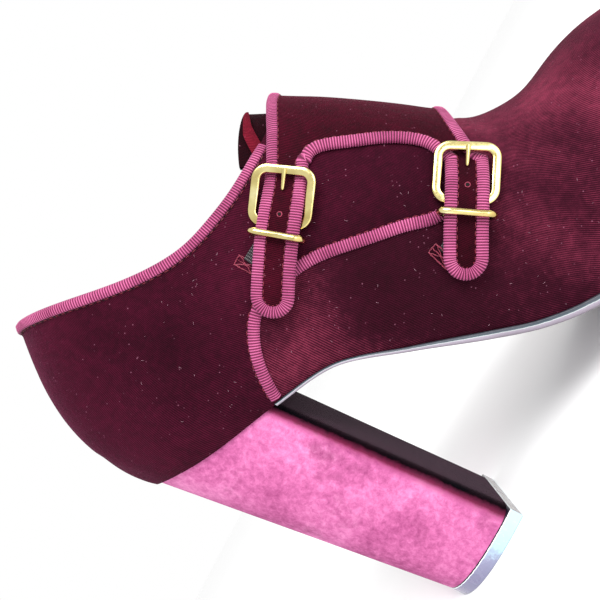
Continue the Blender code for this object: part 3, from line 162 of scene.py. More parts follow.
# Underside of the sole in the side view, from the heel seat to the toe.
# x is a share of LENGTH, rise of HEEL_RISE, spring of TOE_SPRING, and body says how far the
# thickness has grown from the waist's to the forefoot's.
SolePoint = namedtuple("SolePoint", "x rise spring body")
SOLE_LINE = [
    SolePoint(0.011, 0.983, 0.00, 0.0),
    SolePoint(0.093, 0.876, 0.00, 0.0),
    SolePoint(0.204, 0.765, 0.00, 0.0),
    SolePoint(0.276, 0.682, 0.00, 0.0),
    SolePoint(0.341, 0.506, 0.00, 0.2),
    SolePoint(0.400, 0.332, 0.00, 0.65),
    SolePoint(0.441, 0.228, 0.00, 0.75),
    SolePoint(0.486, 0.148, 0.00, 0.85),
    SolePoint(0.570, 0.047, 0.00, 1.0),
    SolePoint(0.649, 0.000, 0.00, 1.0),
    SolePoint(0.735, 0.000, 0.00, 1.0),
    SolePoint(0.805, 0.000, 0.09, 1.0),
    SolePoint(0.883, 0.000, 0.35, 1.0),
    SolePoint(1.000, 0.000, 1.00, 1.0),
]

# Lines drawn on the last, as pairs of along and around. along runs from the toe (0) to the top
# of the ankle (1), and around from the ridge of the instep (0) to the middle of the sole or of
# the back (1). The collar's first two points raise its back end 1.6 mm above the solid's.
COLLAR_LINE = [
    (0.978, 1.000), (0.963, 0.850), (0.929, 0.730), (0.879, 0.616), (0.843, 0.542),
    (0.816, 0.480), (0.793, 0.420), (0.772, 0.372), (0.747, 0.310), (0.724, 0.240),
    (0.706, 0.120), (0.700, 0.000),
]
QUARTER_LINE = [
    (0.690, 0.862), (0.695, 0.835), (0.702, 0.800), (0.714, 0.735), (0.718, 0.690),
    (0.715, 0.658), (0.700, 0.638), (0.680, 0.625), (0.650, 0.614), (0.615, 0.606),
    (0.580, 0.589), (0.550, 0.568), (0.520, 0.540), (0.499, 0.485), (0.485, 0.400),
    (0.480, 0.300), (0.490, 0.150), (0.500, 0.000),
]
QUARTER_RIBBON_END = (0.514, 0.530)
QUARTER_RIBBON_INNER_END = (0.504, 0.503)

FLAP_BACK_LINE = [
    (0.690, 0.604), (0.703, 0.335), (0.709, 0.236), (0.722, 0.120), (0.728, 0.000),
]
FLAP_FRONT_LINE = [
    (0.506, 0.480), (0.482, 0.448), (0.462, 0.400), (0.449, 0.345), (0.446, 0.325),
    (0.441, 0.210), (0.434, 0.100), (0.430, 0.000),
]
GAP_LINE = [
    (0.651, 0.372), (0.647, 0.352), (0.640, 0.341), (0.625, 0.334), (0.595, 0.328),
    (0.555, 0.313), (0.528, 0.309), (0.509, 0.313), (0.496, 0.327), (0.490, 0.348),
]
STRAP_1_LINE = [
    (0.679, 0.349), (0.682, 0.421), (0.689, 0.506), (0.696, 0.603), (0.700, 0.720),
]
STRAP_2_LINE = [
    (0.455, 0.345), (0.469, 0.408), (0.480, 0.461), (0.493, 0.532), (0.505, 0.606),
    (0.521, 0.720),
]
STRAP_2_ROOT = [(0.486, 0.352), (0.441, 0.335)]
ELASTIC_1_START = [(0.716, 0.500), (0.679, 0.560)]
ELASTIC_1_END = [(0.737, 0.545), (0.712, 0.594)]
ELASTIC_2_START = [(0.511, 0.560), (0.490, 0.576)]
ELASTIC_2_END = [(0.531, 0.617), (0.520, 0.645)]
FLAP_SEAM_LINE = [
    (0.690, 0.604), (0.650, 0.586), (0.615, 0.578), (0.580, 0.561), (0.550, 0.540),
    (0.520, 0.509), (0.506, 0.480),
]
TONGUE_START = 0.38
TONGUE_TOP = 0.803
TONGUE_TOP_DROP = 0.030
TONGUE_SPREAD = [
    (0.38, 0.17), (0.50, 0.22), (0.62, 0.26), (0.72, 0.29), (0.81, 0.27),
]
COLLAR_HIDDEN_END = (0.7215, 0.232)
COLLAR_TUCK = 6.0 * MM
FLAP_RIBBON_RUN_ON = [
    (0.5125, 0.4945), (0.5155, 0.505), (0.5187, 0.517), (0.5218, 0.529), (0.5249, 0.541),
]
TONGUE_FOLD_START = [(0.791, 0.11), (0.776, 0.19), (0.745, 0.27)]
TONGUE_FOLD_STOP = [(0.781, 0.09), (0.763, 0.16), (0.733, 0.24)]
# Soft troughs of the worn upper: their line, and their depth and width in millimetres.
CREASES = [
    ([(0.420, 0.00), (0.424, 0.18), (0.436, 0.34)], 0.55, 3.2),
    ([(0.372, 0.06), (0.366, 0.24), (0.376, 0.40)], 0.35, 4.0),
    ([(0.318, 0.12), (0.316, 0.26), (0.330, 0.38)], 0.25, 4.5),
    ([(0.600, 0.70), (0.640, 0.72), (0.680, 0.75)], 0.30, 4.0),
    ([(0.800, 0.70), (0.840, 0.76), (0.880, 0.84)], 0.30, 5.0),
    ([(0.815, 0.93), (0.835, 0.95), (0.855, 0.97)], 0.35, 2.5),
]
# Ends of the two boxes of stitches on the elastic tabs, and half the boxes' width
TACKS = (
    ("tack_back", (0.747, 0.537), (0.722, 0.583), 1.5 * MM),
    ("tack_front", (0.537, 0.615), (0.525, 0.648), 1.6 * MM),
)
HOLE_BACK = (0.684, 0.492)
HOLE_FRONT = (0.469, 0.443)

# Layers of the cloth and the leather. A sliver keeps two faces that touch from flickering.
SKIN_THICKNESS = 1.0 * MM
QUARTER_LAY = 0.03 * MM
TONGUE_SKIN = 0.8 * MM
SLIVER = 0.02 * MM
COLLAR_SINK = 0.75 * MM
FEATHER_TUCK = 0.25 * MM
INSOLE_PRESS = 0.8 * MM

# Distance round the collar ribbon at each point of its section, in millimetres
COLLAR_WEAVE = [0, 0.3, 0.6, 0.9, 1.6, 2.6, 3.6, 4.6, 5.6, 6.6, 7.6, 8.4, 9.2, 9.6, 11, 13]

# Shapes of the metal: roundness of the buckle's bars, taper and drop of the prong, and the
# wave and corners of the keeper's wire
BUCKLE_BOWS = (0.38, 0.45)
PRONG_TAPER = 0.42
PRONG_DROP = 0.35 * MM
PRONG_ROUND_FROM = 0.9
KEEPER_WAVE = 0.12 * MM
KEEPER_WAVES = 9.0
KEEPER_CORNER = 0.42

# Weave, stitches and threads
UV_NAME = "weave"
RIB_PITCH = 0.76 * MM
RIB_RELIEF = 0.12 * MM
RIB_STEP = RIB_PITCH / 4
TWILL_PITCH = 0.74 * MM
METAL_WEAVE = 2.0 * MM
STITCH_PITCH = 2.3 * MM
STITCH_SHARE = 0.62
STITCH_RADIUS = 0.17 * MM
STITCH_RISE = 0.12 * MM
STITCH_INSET = 0.3 * MM
STITCH_LAY = 0.05 * MM
STITCH_SPOKES = 6
FRINGE_RADIUS = 0.09 * MM
FRINGE_RISE = 0.12 * MM
FRINGE_LAY = 0.08 * MM
FRINGE_TUCK = 0.1 * MM
FRINGE_END = 0.3 * MM
LINT_COUNT = 130
LINT_ALONG = (0.12, 0.86)
LINT_AROUND = (0.42, 0.80)
LINT_RADIUS = 0.035 * MM
LINT_LIFT = 0.10 * MM
LINT_RISE = 0.15 * MM
LINT_ABOVE_SOLE = 1.5 * MM
TACK_RADIUS = 0.13 * MM
TACK_LIFT = 0.15 * MM
TACK_RISE = 0.22 * MM
TACK_POINTS = 14

# Outlines in section. A hole's are (radius, height) in millimetres, a sole's edge is (share of
# its height, share of its rounding) and a top piece's levels are (height, inset) in millimetres.
HOLE_PROFILE = (
    (0.85, 0.0), (0.78, 0.09), (0.66, 0.13), (0.54, 0.09), (0.46, 0.04), (0.25, 0.03), (0.02, 0.03),
)
SLAB_EDGE = (
    (1.0, 1.0), (0.93, 0.3), (0.85, 0.0), (0.6, 0.0),
    (0.4, 0.0), (0.15, 0.0), (0.06, 0.3), (0.0, 1.0),
)
TIP_LEVELS = (
    (0.0, 0.5), (0.12, 0.2), (0.3, 0.05), (0.6, 0.0),
    (2.3, 0.0), (4.0, 0.0), (4.45, 0.05), (4.7, 0.3),
)
# Distances in millimetres of the cross sections at a sole's round ends
SOLE_END_STEPS = (0.05, 0.2, 0.45, 0.8, 1.3, 2.0, 2.9, 4.0)

# Sizes of the grids
FINE_ALONG = 301
FINE_FRONT = 44
FINE_BACK = 32
SECTION_STEPS = 160
CURVE_STEPS = 40
OUTLINE_STEPS = 120
FEATHER_STEPS = 160
CREASE_STEPS = 24
QUARTER_STEPS = 90
STRAP_STEPS = 200
STRAP_TIP_STEPS = 12
INNER_CROWDING = 1.3
COLLAR_PLACES = 34
LINT_POINTS = 7
HOLE_SPOKES = 28
SLAB_ACROSS = 10
HEEL_STEPS = 40
HEEL_RINGS = 40
BREAST_CELLS = 40
CORNER_CELLS = 14
PRONG_RINGS = 17
ROUND_SPOKES = 14

# Limits of the side-view outlines, clear of the boot
MARGIN = 0.1 * LENGTH
TOP = HEEL_RISE + 2 * ANKLE_HEIGHT

# Camera, worked out from the photograph: focal length and shift are in its pixels.
PHOTO_WIDTH = 600
FOCAL_LENGTH = 680
PHOTO_SHIFT = -45
CAMERA_ROLL = 62.0
CAMERA_PLACE = (0.0824, -0.220, 0.0763)
SENSOR_WIDTH = 36.0
CLIP_START = 10.0 * MM

# Soft boxes: name, place, size, power and tint. All face the middle of the boot.
SOFT_BOXES = (
    ("key", (0.35, -0.75, 0.75), (0.6, 0.6), 13.0, (1.0, 1.0, 1.0)),
    ("fill", (0.30, -0.70, 0.05), (0.5, 0.3), 3.0, (1.0, 0.96, 0.95)),
)
BOOT_MIDDLE = (0.0, 0.0, 0.07)
FLOOR_REACH = 6.0


def natural_spline(knots, values, at):
    """Values of a natural cubic spline through rows of values at the given knots."""
    knots = np.asarray(knots, float)
    values = np.asarray(values, float)
    at = np.atleast_1d(np.asarray(at, float))
    count = len(knots)
    steps = np.diff(knots)
    system = np.zeros((count, count))
    right = np.zeros_like(values)
    system[0, 0] = 1.0
    system[-1, -1] = 1.0
    for i in range(1, count - 1):
        system[i, i - 1] = steps[i - 1]
        system[i, i] = 2 * (steps[i - 1] + steps[i])
        system[i, i + 1] = steps[i]
        rise_after = (values[i + 1] - values[i]) / steps[i]
        rise_before = (values[i] - values[i - 1]) / steps[i - 1]
        right[i] = 6 * (rise_after - rise_before)
    bends = np.linalg.solve(system, right)
    cell = np.clip(np.searchsorted(knots, at) - 1, 0, count - 2)
    width = steps[cell][:, None]
    after = (at - knots[cell])[:, None]
    before = width - after
    low = values[cell] / width - bends[cell] * width / 6
    high = values[cell + 1] / width - bends[cell + 1] * width / 6
    curved = (bends[cell] * before**3 + bends[cell + 1] * after**3) / (6 * width)
    return curved + low * before + high * after


def steady_spline(knots, values, at):
    """Values of a cubic that never overshoots its points, so flat stretches stay flat."""
    knots = np.asarray(knots, float)
    values = np.asarray(values, float)
    at = np.atleast_1d(np.asarray(at, float))
    steps = np.diff(knots)
    slopes = np.diff(values) / steps
    tangents = np.zeros(len(knots))
    tangents[0] = slopes[0]
    tangents[-1] = slopes[-1]
    for i in range(1, len(knots) - 1):
        if slopes[i - 1] * slopes[i] > 0:
            before = 2 * steps[i] + steps[i - 1]
            after = steps[i] + 2 * steps[i - 1]
            tangents[i] = (before + after) / (before / slopes[i - 1] + after / slopes[i])
    cell = np.clip(np.searchsorted(knots, at) - 1, 0, len(knots) - 2)
    width = steps[cell]
    t = (at - knots[cell]) / width
    inside = np.clip(t, 0.0, 1.0)
    result = (
        (2 * inside**3 - 3 * inside**2 + 1) * values[cell]
        + (inside**3 - 2 * inside**2 + inside) * width * tangents[cell]
        + (3 * inside**2 - 2 * inside**3) * values[cell + 1]
        + (inside**3 - inside**2) * width * tangents[cell + 1]
    )
    past_start = np.minimum(t, 0.0) * width * tangents[0]
    past_end = np.maximum(t - 1.0, 0.0) * width * tangents[-1]
    return result + past_start + past_end


def unit(vector):
    """Vector scaled to a length of one."""
    return vector / np.linalg.norm(vector)


def units(rows):
    """Rows of vectors, each scaled to a length of one."""
    return rows / np.linalg.norm(rows, axis=1, keepdims=True)


def summed(steps):
    """Distance at the start and after each step."""
    return np.concatenate([[0.0], np.cumsum(steps)])


def travelled(points):
    """Distance travelled along a path at each of its points."""
    return summed(np.linalg.norm(np.diff(points, axis=0), axis=1))


def sampled(at, travel, table):
    """Values of a table's columns at one distance or at several."""
    return np.array([np.interp(at, travel, column) for column in np.asarray(table).T]).T


def along_line(points, count):
    """Evenly spaced points of a smooth curve through a list of points."""
    points = np.asarray(points, float)
    knots = travelled(points)
    steps = CURVE_STEPS * len(points)
    dense = natural_spline(knots, points, np.linspace(0.0, knots[-1], steps))
    travel = travelled(dense)
    return sampled(np.linspace(0.0, travel[-1], count), travel, dense)


def sole_under(x):
    """Height of the sole's underside at x."""
    shares = np.array([point.x for point in SOLE_LINE]) * LENGTH
    heights = np.array([p.rise * HEEL_RISE + p.spring * TOE_SPRING for p in SOLE_LINE])
    return steady_spline(shares, heights, x)


def sole_slope_stretch(x):
    """Upright thickness for each unit of thickness square to the sole."""
    step = 0.5 * MM
    slope = (sole_under(np.asarray(x) + step) - sole_under(np.asarray(x) - step)) / (2 * step)
    return np.sqrt(1 + slope**2)


def feather_height(x, above=0.0):
    """Height of the line where the upper meets the sole, plus a distance square to it."""
    shares = np.array([point.x for point in SOLE_LINE]) * LENGTH
    growth = steady_spline(shares, np.array([point.body for point in SOLE_LINE]), x)
    thickness = WAIST_THICKNESS + np.clip(growth, 0, 1) * (SOLE_THICKNESS - WAIST_THICKNESS)
    return sole_under(x) + (thickness + above) * sole_slope_stretch(x)


def section_loop(row, front_cells, back_cells):
    """Points around one section, from the ridge down the outer side and back up the inner."""
    section = Section(*row)
    front_z = section.front_rise * HEEL_RISE + section.front_up * ANKLE_HEIGHT
    back_z = section.back_rise * HEEL_RISE + section.back_up * ANKLE_HEIGHT
    front = np.array([section.front_x * LENGTH, 0.0, front_z])
    back = np.array([section.back_x * LENGTH, 0.0, back_z])
    middle = back + section.mid * (front - back)
    half = section.half * BALL_WIDTH / 2
    shift = section.shift * BALL_WIDTH / 2

    def quarter(reach, bow, cells):
        angle = np.linspace(0, math.pi / 2, SECTION_STEPS)
        lengthwise = np.cos(angle) ** (2 / bow)
        sidewise = np.sin(angle) ** (2 / bow)
        steps = np.hypot(np.diff(lengthwise) * np.linalg.norm(reach), np.diff(sidewise) * half)
        travel = summed(steps)
        wanted = np.linspace(0, travel[-1], cells + 1)
        return np.interp(wanted, travel, lengthwise), np.interp(wanted, travel, sidewise)

    front_share, front_side = quarter(front - middle, section.front_bow, front_cells)
    back_share, back_side = quarter(back - middle, section.back_bow, back_cells)
    outline = [(middle + a * (front - middle), b) for a, b in zip(front_share, front_side)]
    lower = [(middle + a * (back - middle), b) for a, b in zip(back_share, back_side)]
    outline += lower[::-1][1:]
    loop = [(point, -side) for point, side in outline]
    loop += [(point, side) for point, side in outline[::-1][1:-1]]
    points = []
    for point, side in loop:
        y = side * half + shift
        points.append(point + np.array([section.skew * y, y, 0.0]))
    return points


def section_rows(count):
    """Section values at evenly spaced places from the toe to the ankle."""
    table = np.array(SECTIONS)
    knots = [0.0]
    for before, after in zip(table, table[1:]):
        change = after - before
        front = (change[0] * LENGTH, change[1] * HEEL_RISE + change[2] * ANKLE_HEIGHT)
        back = (change[3] * LENGTH, change[4] * HEEL_RISE + change[5] * ANKLE_HEIGHT)
        side = change[6] * BALL_WIDTH / 2
        travel = 0.5 * (front[0] ** 2 + front[1] ** 2) + 0.5 * (back[0] ** 2 + back[1] ** 2)
        knots.append(knots[-1] + math.sqrt(travel + 0.3 * side**2))
    return natural_spline(knots, table, np.linspace(0, knots[-1], count))


def last_grid(along, front_cells, back_cells):
    """Grid of points on the last and its outward normals."""
    rows = section_rows(along)
    points = np.array([section_loop(row, front_cells, back_cells) for row in rows])
    lengthwise = np.gradient(points, axis=0)
    round_about = (np.roll(points, -1, axis=1) - np.roll(points, 1, axis=1)) / 2
    normals = np.cross(round_about, lengthwise)
    normals[0] = [1.0, 0.0, 0.0]
    normals /= np.linalg.norm(normals, axis=2, keepdims=True)
    outward = points[along // 2, front_cells] - points[along // 2].mean(axis=0)
    if np.dot(normals[along // 2, front_cells], outward) < 0:
        normals[1:] *= -1
    return points, normals


class Last:
    """The form of the foot, as a surface that other pieces are laid on."""

    def __init__(self):
        self.points, self.normals = last_grid(FINE_ALONG, FINE_FRONT, FINE_BACK)
        self.around = self.points.shape[1]
        self.half_around = FINE_FRONT + FINE_BACK
        self.faces = []
        for i in range(FINE_ALONG - 1):
            for j in range(self.around):
                k = (j + 1) % self.around
                self.faces.append((self.corner(i, j), self.corner(i + 1, j),
                                   self.corner(i + 1, k), self.corner(i, k)))
        vertices = [Vector(p) for p in self.points.reshape(-1, 3)]
        self.flat_normals = self.normals.reshape(-1, 3)
        self.flat_points = self.points.reshape(-1, 3)
        self.tree = BVHTree.FromPolygons(vertices, self.faces)
        self.offset_trees = {}

    def corner(self, i, j):
        """Number of a grid point."""
        return i * self.around + j

    def at(self, along, around, offset=0.0):
        """Point and normal at a place on the last. A negative around is the inner side."""
        i = np.clip(along, 0, 1) * (FINE_ALONG - 1)
        j = (around * self.half_around) % self.around
        i0 = min(int(i), FINE_ALONG - 2)
        j0 = int(j) % self.around
        j1 = (j0 + 1) % self.around
        s = i - i0
        t = j - int(j)
        weights = ((i0, j0, (1 - s) * (1 - t)), (i0 + 1, j0, s * (1 - t)),
                   (i0, j1, (1 - s) * t), (i0 + 1, j1, s * t))
        point = sum(self.points[a, b] * w for a, b, w in weights)
        normal = unit(sum(self.normals[a, b] * w for a, b, w in weights))
        return point + normal * offset, normal

    def smooth_normal(self, location, face):
        """Normal at a place on a face, mostly that of its nearest corner."""
        corners = self.faces[face]
        spread = [1e-7 + np.linalg.norm(self.flat_points[c] - location) for c in corners]
        return unit(sum(self.flat_normals[c] / d for c, d in zip(corners, spread)))

    def snap(self, point, offset=0.0):
        """Nearest place on the last to a point, moved out by offset, and the normal there."""
        location, _, face, _ = self.tree.find_nearest(Vector(point))
        location = np.array(location)
        normal = self.smooth_normal(location, face)
        return location + normal * offset, normal

    def tree_at(self, offset):
        """Search tree of the last's surface moved out by offset."""
        if offset not in self.offset_trees:
            moved = self.flat_points + self.flat_normals * offset
            self.offset_trees[offset] = BVHTree.FromPolygons([Vector(p) for p in moved], self.faces)
        return self.offset_trees[offset]

    def side(self, x, z, direction, offset=0.0):
        """Width coordinate of the last at x and z, on the side that direction names."""
        start = Vector((x, direction * 2 * BALL_WIDTH, z))
        hit = self.tree_at(offset).ray_cast(start, Vector((0, -direction, 0)))[0]
        return None if hit is None else hit.y

    def end(self, direction, offset=0.0):
        """Last x in one direction where the last crosses the feather line."""
        middle = SECTIONS[1].shift * BALL_WIDTH / 2 if direction > 0 else 0.0
        x = LENGTH if direction > 0 else 0.0
        for _ in range(6):
            start = Vector((x + direction * LENGTH, middle, float(feather_height(x)[0])))
            hit = self.tree_at(offset).ray_cast(start, Vector((-direction, 0, 0)))[0]
            x = hit.x
        return x


LAST = Last()


def points_on_last(line):
    """Points of the last at the places of a line."""
    return [LAST.at(along, around)[0] for along, around in line]


def line_on_last(line, count):
    """Evenly spaced points of a line on the last."""
    return along_line(points_on_last(line), count)


def line_in_side_view(line):
    """Side-view points of a line on the last."""
    return [(p[0], p[2]) for p in line_on_last(line, OUTLINE_STEPS)]


def on_side(point, side):
    """Place and normal of the last behind the side-view position of a point."""
    y = LAST.side(point[0], point[2], side)
    if y is None:
        y = side * abs(point[1])
    return LAST.snap((point[0], y, point[2]))


def heel_share(k):
    """Share of the heel's length at a step of its outline, with short steps at the back."""
    return 1 - math.cos(0.5 * math.pi * k / HEEL_STEPS)


def d_outline(back, front, half):
    """One side of a plan outline with a flat front and a round back, without its backmost point."""
    side = []
    for k in range(1, HEEL_STEPS + 1):
        share = heel_share(k)
        y = half * (1 - (1 - share) ** HEEL_NOSE_BOW) ** (1 / HEEL_NOSE_BOW)
        side.append((back + (front - back) * share, y))
    return side


class Strap:
    """One strap of the flap: its path on the last, its lift and what is fitted on it."""

    def __init__(self, line, length, buckle_at, keeper_at):
        self.dense = line_on_last(line, STRAP_STEPS)
        self.travel = travelled(self.dense)
        self.length = length
        self.buckle_at = buckle_at
        self.keeper_at = keeper_at
        self.half = STRAP_WIDTH / 2 - RIBBON_OVERHANG
        reach = (BUCKLE_LENGTH - BUCKLE_BAR) / 2
        self.top_bar_at = buckle_at - reach
        self.bottom_bar_at = buckle_at + reach
        self.top_rise = self.rise(self.top_bar_at, BUCKLE_WIDTH)
        self.bottom_rise = self.rise(self.bottom_bar_at, BUCKLE_WIDTH)
        self.keeper_rise = self.rise(keeper_at, KEEPER_WIDTH)

    def rise(self, distance, width):
        """Height that the last gains beside the strap, under a straight bar across it."""
        location, _, across, out = self.frame(distance)
        heights = [0.0]
        for share in (-0.5, -0.35, 0.35, 0.5):
            beside = LAST.snap(location + across * width * share)[0]
            heights.append(float(np.dot(beside - location, out)))
        return max(heights)

    def centre(self, distance):
        """Point of the centre line, which runs on straight before its start."""
        point = sampled(distance, self.travel, self.dense)
        if distance < 0:
            point = point + unit(self.dense[1] - self.dense[0]) * distance
        return point

    def frame(self, distance):
        """Point on the last, and the directions along, across and out of the strap."""
        step = 1.0 * MM
        location, out = LAST.snap(self.centre(distance))
        along = self.centre(distance + step) - self.centre(distance - step)
        along = unit(along - out * np.dot(along, out))
        return location, along, np.cross(out, along), out

    def lift(self, distance):
        """Height of the strap's underside above the last."""
        places = [self.top_bar_at, self.bottom_bar_at, self.keeper_at, self.length]
        heights = [LIFT_LOW, LIFT_BAR + self.bottom_rise, LIFT_KEEPER + self.keeper_rise, LIFT_TIP]
        return float(steady_spline(places, heights, np.clip(distance, places[0], places[-1]))[0])

    def columns(self):
        """Distances of the strap's cross rows and their half widths, with a round tip."""
        body = self.length - RIBBON_OVERHANG - self.half
        count = round(body / (1.0 * MM))
        rows = [(body * k / count, self.half) for k in range(1, count + 1)]
        for k in range(1, STRAP_TIP_STEPS):
            angle = 0.5 * math.pi * k / STRAP_TIP_STEPS
            rows.append((body + self.half * math.sin(angle), self.half * math.cos(angle)))
        return rows

    def cross_row(self, distance, half, cells):
        """Points across the strap on its underside level, with their outward normals."""
        location, _, across, _ = self.frame(distance)
        lift = self.lift(distance)
        row = []
        for k in range(cells + 1):
            point = location - across * half * (1 - 2 * k / cells)
            row.append(LAST.snap(point, lift))
        return row


def flap_edge(line, around):
    """Place along the last of a flap edge at a distance around it."""
    alongs, arounds = zip(*line[::-1])
    return float(np.interp(abs(around), arounds, alongs))


def flap_along(around, share):
    """Place along the last at a share of the way from the flap's back edge to its front one."""
    back = flap_edge(FLAP_BACK_LINE, around)
    front = flap_edge(FLAP_FRONT_LINE, around)
    return back * (1 - share) + front * share


def flap_seam(share):
    """Distance around the last of the flap's inner end, from its back edge to its front."""
    alongs, arounds = zip(*FLAP_SEAM_LINE[::-1])
    return float(np.interp(alongs[-1] + (alongs[0] - alongs[-1]) * share, alongs, arounds))


def path_headings(points):
    """Unit direction of travel at each point of a path."""
    steps = units(np.diff(points, axis=0))
    return units(np.vstack([steps[:1], steps[1:] + steps[:-1], steps[-1:]]))


def askew(across, along):
    """Cross direction of a metal fitting, which sits slightly turned."""
    turn = math.radians(FITTING_TURN)
    return across * math.cos(turn) + along * math.sin(turn)


def placed(made, origin, across, out):
    """Set an object down with its Y along the strap and its Z out of it."""
    axes = Matrix((-across, np.cross(across, out), out)).transposed().to_4x4()
    made.matrix_world = Matrix.Translation(Vector(origin)) @ axes


def rounded_rectangle(width, length, corner, corner_steps):
    """Points around a rectangle with round corners, centred on its middle."""
    points = []
    centres = (
        (width / 2 - corner, length / 2 - corner, 0),
        (corner - width / 2, length / 2 - corner, 90),
        (corner - width / 2, corner - length / 2, 180),
        (width / 2 - corner, corner - length / 2, 270),
    )
    for x, y, start in centres:
        for k in range(corner_steps + 1):
            angle = math.radians(start + 90 * k / corner_steps)
            points.append((x + corner * math.cos(angle), y + corner * math.sin(angle)))
    return points


# The part's own frame is centred on its footprint, so everything laid on the last is moved there.
TIP_LOW, TIP_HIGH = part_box("heel_tip")
SHIFT = Vector((TIP_LOW.x - HEEL_SETBACK, (TIP_LOW.y + TIP_HIGH.y) / 2, 0.0))


def finish_piece(made, slot, *nodes):
    """Let a piece ride on the boot and stand for its CAD nodes, which are hidden."""
    made.data.transform(Matrix.Translation(SHIFT) @ made.matrix_world)
    made.matrix_world = Matrix.Identity(4)
    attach(made, "root")
    if nodes:
        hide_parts(*nodes)
    return made


def linked(name, data):
    """New object in the scene."""
    made = bpy.data.objects.new(name, data)
    bpy.context.scene.collection.objects.link(made)
    return made


def smoothed(name, mesh, sharp):
    """Object of a mesh that is shaded smooth, but for edges sharper than an angle in degrees."""
    mesh.shade_smooth()
    mesh.set_sharp_from_angle(angle=math.radians(sharp))
    return linked(name, mesh)


def mesh_piece(name, vertices, faces, surface, weave=None, sharp=40):
    """Mesh object with outward faces, smooth shading and weave distances as its UVs."""
    mesh = bpy.data.meshes.new(name)
    mesh.from_pydata([tuple(v) for v in vertices], [], [tuple(f) for f in faces])
    shape = bmesh.new()
    shape.from_mesh(mesh)
    bmesh.ops.recalc_face_normals(shape, faces=shape.faces)
    if shape.calc_volume(signed=True) < 0:
        bmesh.ops.reverse_faces(shape, faces=shape.faces)
    shape.to_mesh(mesh)
    shape.free()
    if weave is not None:
        layer = mesh.uv_layers.new(name=UV_NAME)
        corners = np.zeros(len(mesh.loops), int)
        mesh.loops.foreach_get("vertex_index", corners)
        layer.data.foreach_set("uv", np.asarray(weave, float)[corners].ravel())
    mesh.materials.append(surface)
    return smoothed(name, mesh, sharp)


def grid_faces(rows, columns, wrap=False):
    """Quads of a grid of points that is numbered row by row."""
    faces = []
    for i in range(rows - 1):
        for j in range(columns if wrap else columns - 1):
            k = (j + 1) % columns
            a = i * columns
            b = a + columns
            faces.append((a + j, b + j, b + k, a + k))
    return faces


def closed_faces(count, size):
    """Faces of a tube of rings with both its ends closed."""
    last = (count - 1) * size
    ends = [tuple(range(size)), tuple(range(last, last + size))]
    return grid_faces(count, size, wrap=True) + ends


class Threads:
    """Closed threads that are gathered for one mesh."""

    def __init__(self):
        self.vertices = []
        self.faces = []

    def add(self, rings):
        """Add one thread, given as rings of points."""
        first = len(self.vertices)
        self.vertices += [tuple(point) for ring in rings for point in ring]
        for face in closed_faces(len(rings), len(rings[0])):
            self.faces.append(tuple(first + v for v in face))

    def finish(self, name, surface, slot):
        """Make one piece of all the threads."""
        finish_piece(mesh_piece(name, self.vertices, self.faces, surface), slot)


def last_weave():
    """Distances along and around the last at its points, mirrored about its middle plane."""
    along = np.linalg.norm(np.diff(LAST.points, axis=0), axis=2)
    u = np.vstack([np.zeros(LAST.around), np.cumsum(along, axis=0)])
    outer_half = LAST.points[:, :LAST.half_around + 1]
    girth = np.linalg.norm(np.diff(outer_half, axis=1), axis=2)
    half = np.hstack([np.zeros((FINE_ALONG, 1)), np.cumsum(girth, axis=1)])
    v = np.hstack([half, half[:, -2:0:-1]])
    return np.dstack([u, v])


WEAVE = last_weave()
LAST_ROWS = np.dstack([LAST.points, LAST.normals, WEAVE]).reshape(-1, 8)


def last_tree():
    """Search tree of the last's grid points."""
    tree = KDTree(len(LAST.flat_points))
    for index, point in enumerate(LAST.flat_points):
        tree.insert(point, index)
    tree.balance()
    return tree


LAST_TREE = last_tree()


def place_of(point):
    """Place along and around the last at a point near its outer side, between its grid points."""
    _, index, _ = LAST_TREE.find(point)
    i, j = divmod(index, LAST.around)
    i = min(max(i, 1), FINE_ALONG - 2)
    ahead = (LAST.points[i + 1, j] - LAST.points[i - 1, j]) / 2
    k = (j + 1) % LAST.around
    beside = (LAST.points[i, k] - LAST.points[i, j - 1]) / 2
    step, _, _, _ = np.linalg.lstsq(
        np.column_stack([ahead, beside]), np.array(point) - LAST.points[i, j], rcond=None,
    )
    return (i + step[0]) / (FINE_ALONG - 1), (j + step[1]) / LAST.half_around


def weave_at(along, around):
    """Weave distances at a place on the last."""
    i = np.clip(along, 0, 1) * (FINE_ALONG - 1)
    j = min(abs(around), 1.0) * LAST.half_around
    i0 = min(int(i), FINE_ALONG - 2)
    j0 = min(int(j), LAST.half_around - 1)
    s, t = i - i0, j - j0
    low = WEAVE[i0, j0] * (1 - t) + WEAVE[i0, j0 + 1] * t
    high = WEAVE[i0 + 1, j0] * (1 - t) + WEAVE[i0 + 1, j0 + 1] * t
    return low * (1 - s) + high * s


def side_field(outline, rows):
    """Side-view distance of each row from a closed outline, positive inside it."""
    x = rows[:, 0][:, None]
    z = rows[:, 2][:, None]
    start = np.array(outline, float)
    edge = np.roll(start, -1, axis=0) - start
    lengths = np.maximum((edge**2).sum(axis=1), 1e-18)
    share = ((x - start[:, 0]) * edge[:, 0] + (z - start[:, 1]) * edge[:, 1]) / lengths
    share = np.clip(share, 0, 1)
    away = np.hypot(x - start[:, 0] - share * edge[:, 0], z - start[:, 1] - share * edge[:, 1])
    stop_z = start[:, 1] + edge[:, 1]
    slope = edge[:, 0] / np.where(edge[:, 1] == 0, 1e-18, edge[:, 1])
    crosses = ((start[:, 1] > z) != (stop_z > z)) & (x < slope * (z - start[:, 1]) + start[:, 0])
    inside = crosses.sum(axis=1) % 2 == 1
    return np.where(inside, away.min(axis=1), -away.min(axis=1))


